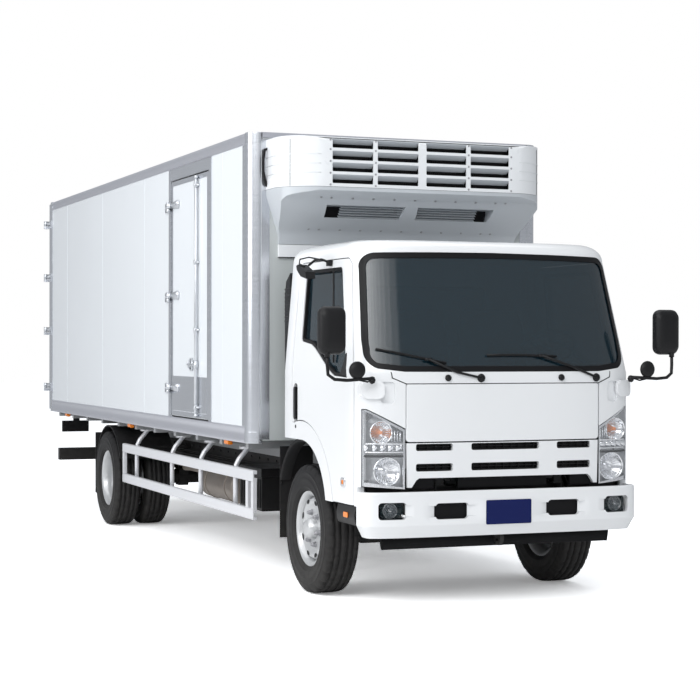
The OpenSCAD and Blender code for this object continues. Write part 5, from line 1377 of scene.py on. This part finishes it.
edging.push(top_shape, "y", box_y0 + 0.0853, frame_y - 0.0003, 0)
edging.push(low_shape, "y", box_y0 + 0.0853, frame_y - 0.0003, 0)
post = [(box_half, box_y0 + 0.085)] + [(box_half - 0.085 + 0.085 * math.cos(math.radians(a)),
                                        box_y0 + 0.085 - 0.085 * math.sin(math.radians(a)))
                                       for a in range(6, 91, 6)] + [(box_half - 0.085, box_y0 + 0.085)]
edging.push(post, "z", 0.960, 2.930, 1)
edging.mirrored()
edging.push([(-0.9897, 2.948), (0.9897, 2.948), (0.9897, 2.986), (-0.9897, 2.986)], "y", box_y0,
            box_y0 + 0.08, 0)
crisp(piece("box_edging", edging.mesh("box_edging"), [rail_metal, steel_trim], "chassis",
            ("box_trim",)), 0.0015, 38)
caps = Shape()
for z0, z1 in ((0.908, 0.990), (2.905, 2.9865)):
    cap = [(box_half, box_y0 + 0.095),
           (box_half, box_y0 + 0.080)] + [(box_half - 0.082 + 0.082 * math.cos(math.radians(a)),
                                           box_y0 + 0.082 - 0.082 * math.sin(math.radians(a)))
           for a in range(6, 91, 7)] + [(box_half - 0.100, box_y0), (box_half - 0.100, box_y0 + 0.095)]
    caps.push(cap, "z", z0, z1)
caps.mirrored()
crisp(piece("corner_castings", caps.mesh("corner_castings"), steel_trim, "chassis"), 0.006, 30,
      3)
rivets = Shape()
for i in range(41):
    y = 0.82 + i * 0.151
    for z in (2.917, 2.966, 0.926, 1.006):
        rivets.spin([(0, 0), (0, 0.005), (0.0015, 0.004), (0.0024, 0.0)], (box_half, y, z), (1, 0, 0), 8,
                    closed=False)
rivets.mirrored()
piece("edging_rivets", rivets.mesh("edging_rivets"), rail_metal, "chassis")
# cover strips beside the corner posts, on the side and on the front wall
strips = Shape()
for sign in (1, -1):
    strips.block((min(1.0698 * sign, 1.0735 * sign), 0.782, 1.022),
                 (max(1.0698 * sign, 1.0735 * sign), 0.842, 2.904))
    strips.block((min(0.93 * sign, 0.988 * sign), 0.6935, 0.935),
                 (max(0.93 * sign, 0.988 * sign), 0.6962, 2.94))
crisp(piece("corner_strips", strips.mesh("corner_strips"), steel_trim, "chassis", smooth=False),
      0.001)
# The box's front wall gets a grey copy of the white panel skin: painted shade on that face.
front_wall_shade_skin = finish("painted_shade_front_wall_skin", (0.47, 0.50, 0.50), rough=0.35, coat=0.2, vary=0.03, patch=2)
dress("box_front_wall", front_wall_shade_skin)

# ---------------------------------------------------------------- doors of the box
# Insulated leaves with stainless edge frames and black double-lip seals. Each is locked by a
# galvanised rod that turns in guides, with cams at its ends and a hinged handle held in a catch.
zinc = finish("zinc_hardware", (0.60, 0.62, 0.65), rough=0.30, metal=0.9, vary=0.12, patch=25, bump=0.2,
              grain=120)
door_y0, door_y1, door_z0, door_z1 = 1.625, 2.590, 1.032, 2.807
side_leaf = Shape()
side_leaf.block((-1.0702, door_y0 + 0.035, door_z0 + 0.035), (-0.992, door_y1 - 0.035, door_z1 - 0.035), 0)
for a, b, c, d in ((door_y0, door_y0 + 0.036, door_z0, door_z1), (door_y1 - 0.036, door_y1, door_z0, door_z1),
                   (door_y0 + 0.036, door_y1 - 0.036, door_z0, door_z0 + 0.036),
                   (door_y0 + 0.036, door_y1 - 0.036, door_z1 - 0.036, door_z1)):
    side_leaf.block((-1.0725, a, c), (-0.990, b, d), 1)
crisp(piece("side_leaf", side_leaf.mesh("side_leaf"), [panel_skin, steel_trim], "side_door",
            ("side_door",), smooth=False), 0.0015)
kick = Shape()
kick.block((-1.0735, door_y0 + 0.04, door_z0 + 0.04), (-1.0703, door_y1 - 0.04, door_z0 + 0.30))
crisp(piece("kick_plate", kick.mesh("kick_plate"), steel_trim, "side_door", smooth=False),
      0.0008)
seal = Shape()
for a, b, c, d in ((door_y0 - 0.012, door_y0 + 0.002, door_z0 - 0.010, door_z1 + 0.009),
                   (door_y1 - 0.002, door_y1 + 0.008, door_z0 - 0.010, door_z1 + 0.009),
                   (door_y0, door_y1, door_z0 - 0.010, door_z0 + 0.002),
                   (door_y0, door_y1, door_z1 - 0.002, door_z1 + 0.009)):
    seal.block((-1.066, a, c), (-1.050, b, d))
piece("side_seal", seal.mesh("side_seal"), seal_rubber, "side_door", smooth=False)
jamb = Shape()
for a, b, c, d in ((1.550, 1.612, 1.0215, 2.904), (2.599, 2.665, 1.0215, 2.904),
                   (1.612, 2.599, 2.817, 2.904)):
    jamb.block((-1.0765, a, c), (-1.0703, b, d))
crisp(piece("side_jamb", jamb.mesh("side_jamb"), steel_trim, "chassis", smooth=False), 0.001)


def lock_gear(shape, at, out, along, z0, z1, handle_z, reach):
    """A lock rod on a door: at is its foot, out points off the door, along follows the handle."""
    at, out, along = Vector(at), Vector(out), Vector(along)
    off = 0.017
    shape.rod(at + out * off + Vector((0, 0, z0)), at + out * off + Vector((0, 0, z1)), 0.0125, 20)
    for z in (z0 + 0.07, z0 + (z1 - z0) * 0.36, z0 + (z1 - z0) * 0.64, z1 - 0.07):
        p = at + Vector((0, 0, z))
        for e in (-1, 1):
            a = p + along * (0.030 * e) + out * 0.0003
            shape.tube([a, a + out * 0.004, p + along * (0.014 * e) + out * (off + 0.006)], 0.009, 8)
        shape.spin([(-0.017, 0.0125), (-0.017, 0.0175), (0.017, 0.0175), (0.017, 0.0125)], p + out * off,
                   (0, 0, 1), 20)
    for z, e in ((z0 + 0.012, 1), (z1 - 0.012, -1)):
        p = at + Vector((0, 0, z))
        shape.spin([(-0.011, 0.0), (-0.011, 0.018), (0.011, 0.018), (0.011, 0.0)], p + out * off * 0.9,
                   (0, 0, 1), 8, closed=False)
        shape.tube([p + out * off - along * 0.02, p + out * off + along * 0.035], 0.009, 8)
    grip = [at + out * off + Vector((0, 0, handle_z)),
            at + out * (off + 0.006) + along * 0.05 + Vector((0, 0, handle_z)),
            at + out * (off + 0.006) + along * (reach * 0.6) + Vector((0, 0, handle_z - 0.004)),
            at + out * off + along * reach + Vector((0, 0, handle_z))]
    shape.tube(grip, 0.0095, 12)
    shape.spin([(-0.03, 0.0), (-0.03, 0.0175), (0.03, 0.0175), (0.03, 0.0)],
               at + out * off * 0.98 + Vector((0, 0, handle_z)), (0, 0, 1), 24, closed=False)
    catch = at + along * (reach - 0.045)
    ends = [catch + along * a + out * b + Vector((0, 0, handle_z + c)) for a in (-0.030,
                                                                                 0.030) for b in (0.0004,
                                                                                                  0.008) for c in (-0.045, 0.045)]
    low = [min(p[i] for p in ends) for i in range(3)]
    high = [max(p[i] for p in ends) for i in range(3)]
    shape.block(low, high)
    shape.tube([catch + out * 0.008 + Vector((0, 0, handle_z - 0.03)),
                catch + out * 0.027 + Vector((0, 0, handle_z - 0.022)),
                catch + out * 0.028 + Vector((0, 0, handle_z + 0.018)),
                catch + out * 0.01 + Vector((0, 0, handle_z + 0.032))], 0.006, 8)


gear = Shape()
lock_gear(gear, (-1.0725, 1.885, 0), (-1, 0, 0), (0, 1, 0), door_z0 + 0.01, door_z1 - 0.008, 1.422, 0.205)
piece("side_lock", gear.mesh("side_lock"), zinc, "side_door")
hinges = Shape()
fixed = Shape()
for z in (1.246, 1.942, 2.628):
    hinges.push([(2.385, z - 0.024), (2.400, z - 0.032), (2.560, z - 0.022), (2.586, z - 0.022),
                 (2.586, z + 0.022), (2.560, z + 0.022), (2.400, z + 0.032), (2.385, z + 0.024)], "x", -1.082,
                -1.0722)
    hinges.rod((-1.100, 2.596, z - 0.020), (-1.100, 2.596, z + 0.021), 0.0148, 24)
    hinges.block((-1.104, 2.575, z - 0.020), (-1.078, 2.588, z + 0.020))
    hinges.hexes([(-1.082, 2.425, z), (-1.082, 2.490, z), (-1.082, 2.550, z)], (-1, 0, 0), 0.010, 0.006)
    fixed.rod((-1.100, 2.596, z - 0.046), (-1.100, 2.596, z - 0.023), 0.0148, 24)
    fixed.rod((-1.100, 2.596, z + 0.022), (-1.100, 2.596, z + 0.030), 0.0120, 24)
    fixed.block((-1.084, 2.610, z - 0.046), (-1.0762, 2.740, z + 0.024))
    fixed.block((-1.104, 2.600, z - 0.046), (-1.0762, 2.622, z - 0.024))
    fixed.hexes([(-1.084, 2.655, z - 0.010), (-1.084, 2.710, z - 0.010)], (-1, 0, 0), 0.010, 0.006)
piece("side_straps", hinges.mesh("side_straps"), zinc, "side_door")
piece("side_hinge_halves", fixed.mesh("side_hinge_halves"), zinc, "chassis")

# rear frame, doors and their gear
dress("box_rear_frame", steel_trim)
leaf_z0, leaf_z1 = 0.928, 2.972
for side, sign in (("left", 1), ("right", -1)):
    leaf = Shape()
    x0, x1 = 0.010, 1.070
    leaf.block((x0 + 0.032, 7.039, leaf_z0 + 0.032), (x1 - 0.032, 7.116, leaf_z1 - 0.032), 0)
    for a, b, c, d in ((x0, x0 + 0.033, leaf_z0, leaf_z1), (x1 - 0.033, x1, leaf_z0, leaf_z1),
                       (x0 + 0.033, x1 - 0.033, leaf_z0, leaf_z0 + 0.033),
                       (x0 + 0.033, x1 - 0.033, leaf_z1 - 0.033, leaf_z1)):
        leaf.block((a, 7.0385, c), (b, 7.118, d), 1)
    for v in leaf.bm.verts:
        v.co.x *= sign
    crisp(piece(f"rear_leaf_{side}", leaf.mesh(f"rear_leaf_{side}"), [panel_skin, steel_trim],
                f"rear_door_{side}",
                (f"rear_door_{side}",), smooth=False), 0.0015)
    lips = Shape()
    for a, b, c, d in ((0.0045 if sign > 0 else 0.007, 0.0105, leaf_z0 + 0.004, leaf_z1 - 0.004),
                       (0.02, 1.06, leaf_z0 - 0.008, leaf_z0 + 0.003),
                       (0.02, 1.06, leaf_z1 - 0.003, leaf_z1 + 0.006)):
        lips.block((min(a * sign, b * sign), 7.050, c), (max(a * sign, b * sign), 7.085, d))
    piece(f"rear_seal_{side}", lips.mesh(f"rear_seal_{side}"), seal_rubber, f"rear_door_{side}",
          smooth=False)
    gear = Shape()
    lock_gear(gear, (0.190 * sign, 7.1182, 0), (0, 1, 0), (sign, 0, 0), leaf_z0 + 0.01, leaf_z1 - 0.01, 1.468,
              0.330)
    lock_gear(gear, (0.80 * sign, 7.1182, 0), (0, 1, 0), (-sign, 0, 0), leaf_z0 + 0.01, leaf_z1 - 0.01, 1.468,
              0.26)
    piece(f"rear_lock_{side}", gear.mesh(f"rear_lock_{side}"), zinc, f"rear_door_{side}")
    straps = Shape()
    for z in (1.148, 1.708, 2.238, 2.768):
        straps.push([(x * sign, w) for x,
                     w in ((0.83, z - 0.008), (0.85, z - 0.011), (1.095, z - 0.010), (1.095, z + 0.036),
                           (0.85, z + 0.037), (0.83, z + 0.034))],
                    "y", 7.1182, 7.1265)
        straps.rod((1.105 * sign, 7.140, z - 0.0115), (1.105 * sign, 7.140, z + 0.0375), 0.0158, 24)
        straps.hexes([((0.88 + 0.06 * i) * sign, 7.1265, z + 0.013) for i in range(4)], (0, 1, 0), 0.011,
                     0.006)
    piece(f"rear_straps_{side}", straps.mesh(f"rear_straps_{side}"), zinc, f"rear_door_{side}")

# ---------------------------------------------------------------- lamps on the chassis
# Red, amber and clear moulded tail lamps on brackets, and amber side markers under the edge rail.
red = finish("red_lens", (0.42, 0.012, 0.012), rough=0.15, coat=0.5, vary=0.12, patch=120, bump=0.4, grain=90)
tails = Shape()
marks = Shape()
for sign in (1, -1):
    for x0, x1, look in ((0.700, 0.800, 0), (0.805, 0.880, 1), (0.885, 0.960, 2)):
        a, b = sorted((x0 * sign, x1 * sign))
        tails.push(round_box(a, 0.702, b, 0.808, 0.012), "y", 7.020, 7.0325, look)
    a, b = sorted((0.697 * sign, 0.963 * sign))
    tails.block((a, 6.984, 0.700), (b, 7.022, 0.810), 3)
    a, b = sorted((0.790 * sign, 0.850 * sign))
    tails.block((a, 6.984, 0.805), (b, 7.020, 0.9075), 3)
    for y in (1.228, 3.929, 6.364):
        marks.push([(sign * x, z) for x,
                    z in ((1.030, 0.9075), (1.030, 0.878), (1.052, 0.876), (1.066, 0.882), (1.0665, 0.9075))],
                   "y", y - 0.045, y + 0.045, 0)
reverse_lens = finish("clear_lens", (0.75, 0.76, 0.78), rough=0.12, coat=0.4, vary=0.06, patch=120, bump=0.4,
                      grain=90)
crisp(piece("tail_lamps", tails.mesh("tail_lamps"), [red, amber, reverse_lens, moulded], "chassis",
            ("lamps",), smooth=False), 0.003)
crisp(piece("side_markers", marks.mesh("side_markers"), amber, "chassis"), 0.003)

# ---------------------------------------------------------------- refrigeration unit
# A white moulded cover over condenser and fans, with four rows of louvre openings over a dark
# guard mesh, and a grey base whose slots let the air out under it. It is bolted to the front wall.
unit_front, flat_half, unit_half = 0.276, 0.660, 0.958
unit_top, seam_z = 2.930, 2.598
unit_white = finish("unit_white", (0.79, 0.81, 0.83), rough=0.28, coat=0.3, vary=0.015, patch=2, bump=0.05,
                    grain=300)
unit_grey = finish("unit_grey", (0.50, 0.53, 0.56), rough=0.36, coat=0.15, vary=0.03, patch=3, bump=0.1,
                   grain=250)


def unit_plan(t, n=16):
    a, b = unit_half - flat_half, 0.250
    right = [(flat_half + (a - t) * math.sin(math.pi / 2 * i / n),
              unit_front + b - (b - t) * math.cos(math.pi / 2 * i / n)) for i in range(n + 1)]
    half = right + [(unit_half - t, 0.6955)]
    return half + [(-x, y) for x, y in reversed(half)]


cover = pushed(unit_plan(0.001), "z", seam_z + 0.002, 3.2)
profile = [(0.8, seam_z - 0.1), (0.8, unit_top)] + [
    (unit_front + 0.060 - 0.060 * math.sin(math.radians(a)),
     unit_top - 0.045 + 0.045 * math.cos(math.radians(a))) for a in range(0, 91, 10)] + [
    (unit_front, seam_z - 0.1)]
carve(cover, pushed(profile, "x", -1.1, 1.1), "INTERSECT")
carve(cover, pushed(unit_plan(0.012), "z", 2.5, unit_top - 0.010))
columns = ((-0.640, -0.352), (-0.322, -0.028), (0.028, 0.322), (0.352, 0.640))
row_z = [seam_z + 0.024 + i * 0.077 for i in range(4)]
holes = Shape()
for x0, x1 in columns:
    for z in row_z:
        holes.push(round_box(x0, z, x1, z + 0.058, 0.006, 2), "y", unit_front - 0.05, unit_front + 0.05)
carve(cover, loose(holes.mesh("holes")))
crisp(piece("unit_cover", take(cover), unit_white, "chassis", ("refrigeration_unit",)), 0.003,
      38)
blades = Shape()
for x0, x1 in columns:
    for z in row_z:
        blades.push([(unit_front + 0.004, z + 0.056), (unit_front + 0.007, z + 0.0595),
                     (unit_front + 0.048, z + 0.032), (unit_front + 0.045, z + 0.0285)],
                    "x", x0 - 0.002, x1 + 0.002)
blades.block((-0.016, unit_front + 0.010, seam_z + 0.01), (0.016, unit_front + 0.03, unit_top - 0.03))
piece("louvre_blades", blades.mesh("louvre_blades"), unit_grey, "chassis", smooth=False)
mesh_guard = Shape()
for i in range(88):
    x = -0.66 + i * 0.01517
    mesh_guard.block((x - 0.0014, unit_front + 0.056, seam_z + 0.01),
                     (x + 0.0014, unit_front + 0.0585, unit_top - 0.03))
for i in range(20):
    z = seam_z + 0.015 + i * 0.0155
    mesh_guard.block((-0.665, unit_front + 0.0586, z - 0.0014), (0.665, unit_front + 0.061, z + 0.0014))
piece("guard_mesh", mesh_guard.mesh("guard_mesh"), moulded, "chassis", smooth=False)
inside = Shape()
inside.block((-0.90, unit_front + 0.100, seam_z + 0.004), (0.90, unit_front + 0.110, unit_top - 0.02))
for x in (-0.33, 0.33):
    inside.spin([(0, 0.0), (0, 0.05), (0.02, 0.05), (0.02, 0.0)], (x, unit_front + 0.075, 2.765), (0, 1, 0),
                24, closed=False)
    for k in range(5):
        a = 2 * math.pi * k / 5
        inside.block((x - 0.02, unit_front + 0.085, 2.765 - 0.02),
                     (x + 0.02, unit_front + 0.09, 2.765 + 0.02))
piece("unit_inside", inside.mesh("unit_inside"), black_steel_and_shade, "chassis", smooth=False)
grooves = Shape()
for z in (2.690, 2.750, 2.810):
    for sign in (1, -1):
        line = [(x * sign, y, z) for x, y in unit_plan(0.0)[2:18]]
        grooves.tube([(x, y, zz) for x, y, zz in line], 0.0022, 6)
piece("cover_ribs", grooves.mesh("cover_ribs"), unit_white, "chassis")

base_line = [(unit_front + 0.002, seam_z), (unit_front + 0.006, seam_z - 0.022),
             (unit_front + 0.030, seam_z - 0.034), (unit_front + 0.122, seam_z - 0.058),
             (unit_front + 0.150, seam_z - 0.078), (unit_front + 0.224, seam_z - 0.148), (0.640, 2.342),
             (0.662, 2.300), (0.674, 2.240), (0.6955, 2.240), (0.6955, seam_z)]
pod = pushed(unit_plan(0.001), "z", 2.10, seam_z)
carve(pod, pushed(base_line, "x", -1.1, 1.1), "INTERSECT")
carve(pod, pushed([(-0.955, 2.61), (-0.955, 2.560), (-0.873, 2.300), (-0.873, 2.1), (0.873, 2.1),
                   (0.873, 2.300), (0.955, 2.560), (0.955, 2.61)], "y", 0.0, 0.9), "INTERSECT")
slots = Shape()
for sign in (1, -1):
    slots.push([(sign * x, z) for x, z in ((0.060, 2.417), (0.600, 2.417), (0.612, 2.494), (0.046, 2.494))],
               "y", 0.30, 0.60)
carve(pod, loose(slots.mesh("slots")))
crisp(piece("unit_base", take(pod), unit_grey, "chassis", ("refrigeration_base",)), 0.006, 30,
      3)
fins = Shape()
for sign in (1, -1):
    for k in range(5):
        z = 2.420 + k * 0.0155
        fins.push([(0.535 - k * 0.012, z), (0.555 - k * 0.012, z + 0.013), (0.558 - k * 0.012, z + 0.011),
                   (0.538 - k * 0.012, z - 0.002)], "x",
                  *sorted((0.05 * sign, 0.50 * sign)))
    fins.block((min(0.04 * sign, 0.615 * sign), 0.585, 2.41), (max(0.04 * sign, 0.615 * sign), 0.595, 2.50),
               1)
piece("base_fins", fins.mesh("base_fins"), [unit_grey, black_steel_and_shade], "chassis", smooth=False)
flange = Shape()
flange.block((-0.873, 0.676, 2.152), (0.873, 0.6957, 2.238), 0)
flange.block((-0.873, 0.6745, 2.150), (0.873, 0.6957, 2.156), 1)
crisp(piece("unit_flange", flange.mesh("unit_flange"), [unit_white, seal_rubber], "chassis",
            smooth=False), 0.003)
screws = Shape()
for x in [-0.60 + 0.15 * i for i in range(9)]:
    screws.hexes([(x, unit_front + 0.126, seam_z - 0.060)], (0, -0.5, -0.86), 0.009, 0.005)
    screws.hexes([(x, 0.6415, 2.345)], (0, -0.6, -0.8), 0.009, 0.006)
for sign in (1, -1):
    screws.hexes([(0.673 * sign, 0.397, 2.540), (0.674 * sign, 0.641, 2.345), (0.80 * sign, 0.43, 2.535)],
                 (0, -0.6, -0.8), 0.009, 0.006)
for x in (-0.655, -0.337, 0.337, 0.655):
    for z in (2.612, 2.688, 2.765, 2.842, 2.905):
        screws.spin([(0, 0), (0, 0.007), (0.002, 0.006), (0.003, 0)], (x, unit_front, z), (0, -1, 0), 10,
                    closed=False)
piece("unit_screws", screws.mesh("unit_screws"), nut_steel, "chassis")
hose = Shape()
hose.tube([(-0.930, 0.69, 2.60), (-0.965, 0.672, 2.64), (-0.985, 0.668, 2.72), (-0.985, 0.668, 2.80),
           (-0.975, 0.668, 2.86), (-0.945, 0.672, 2.88), (-0.925, 0.682, 2.85)], 0.010, 12)
piece("unit_hose", hose.mesh("unit_hose"), rubber, "chassis")
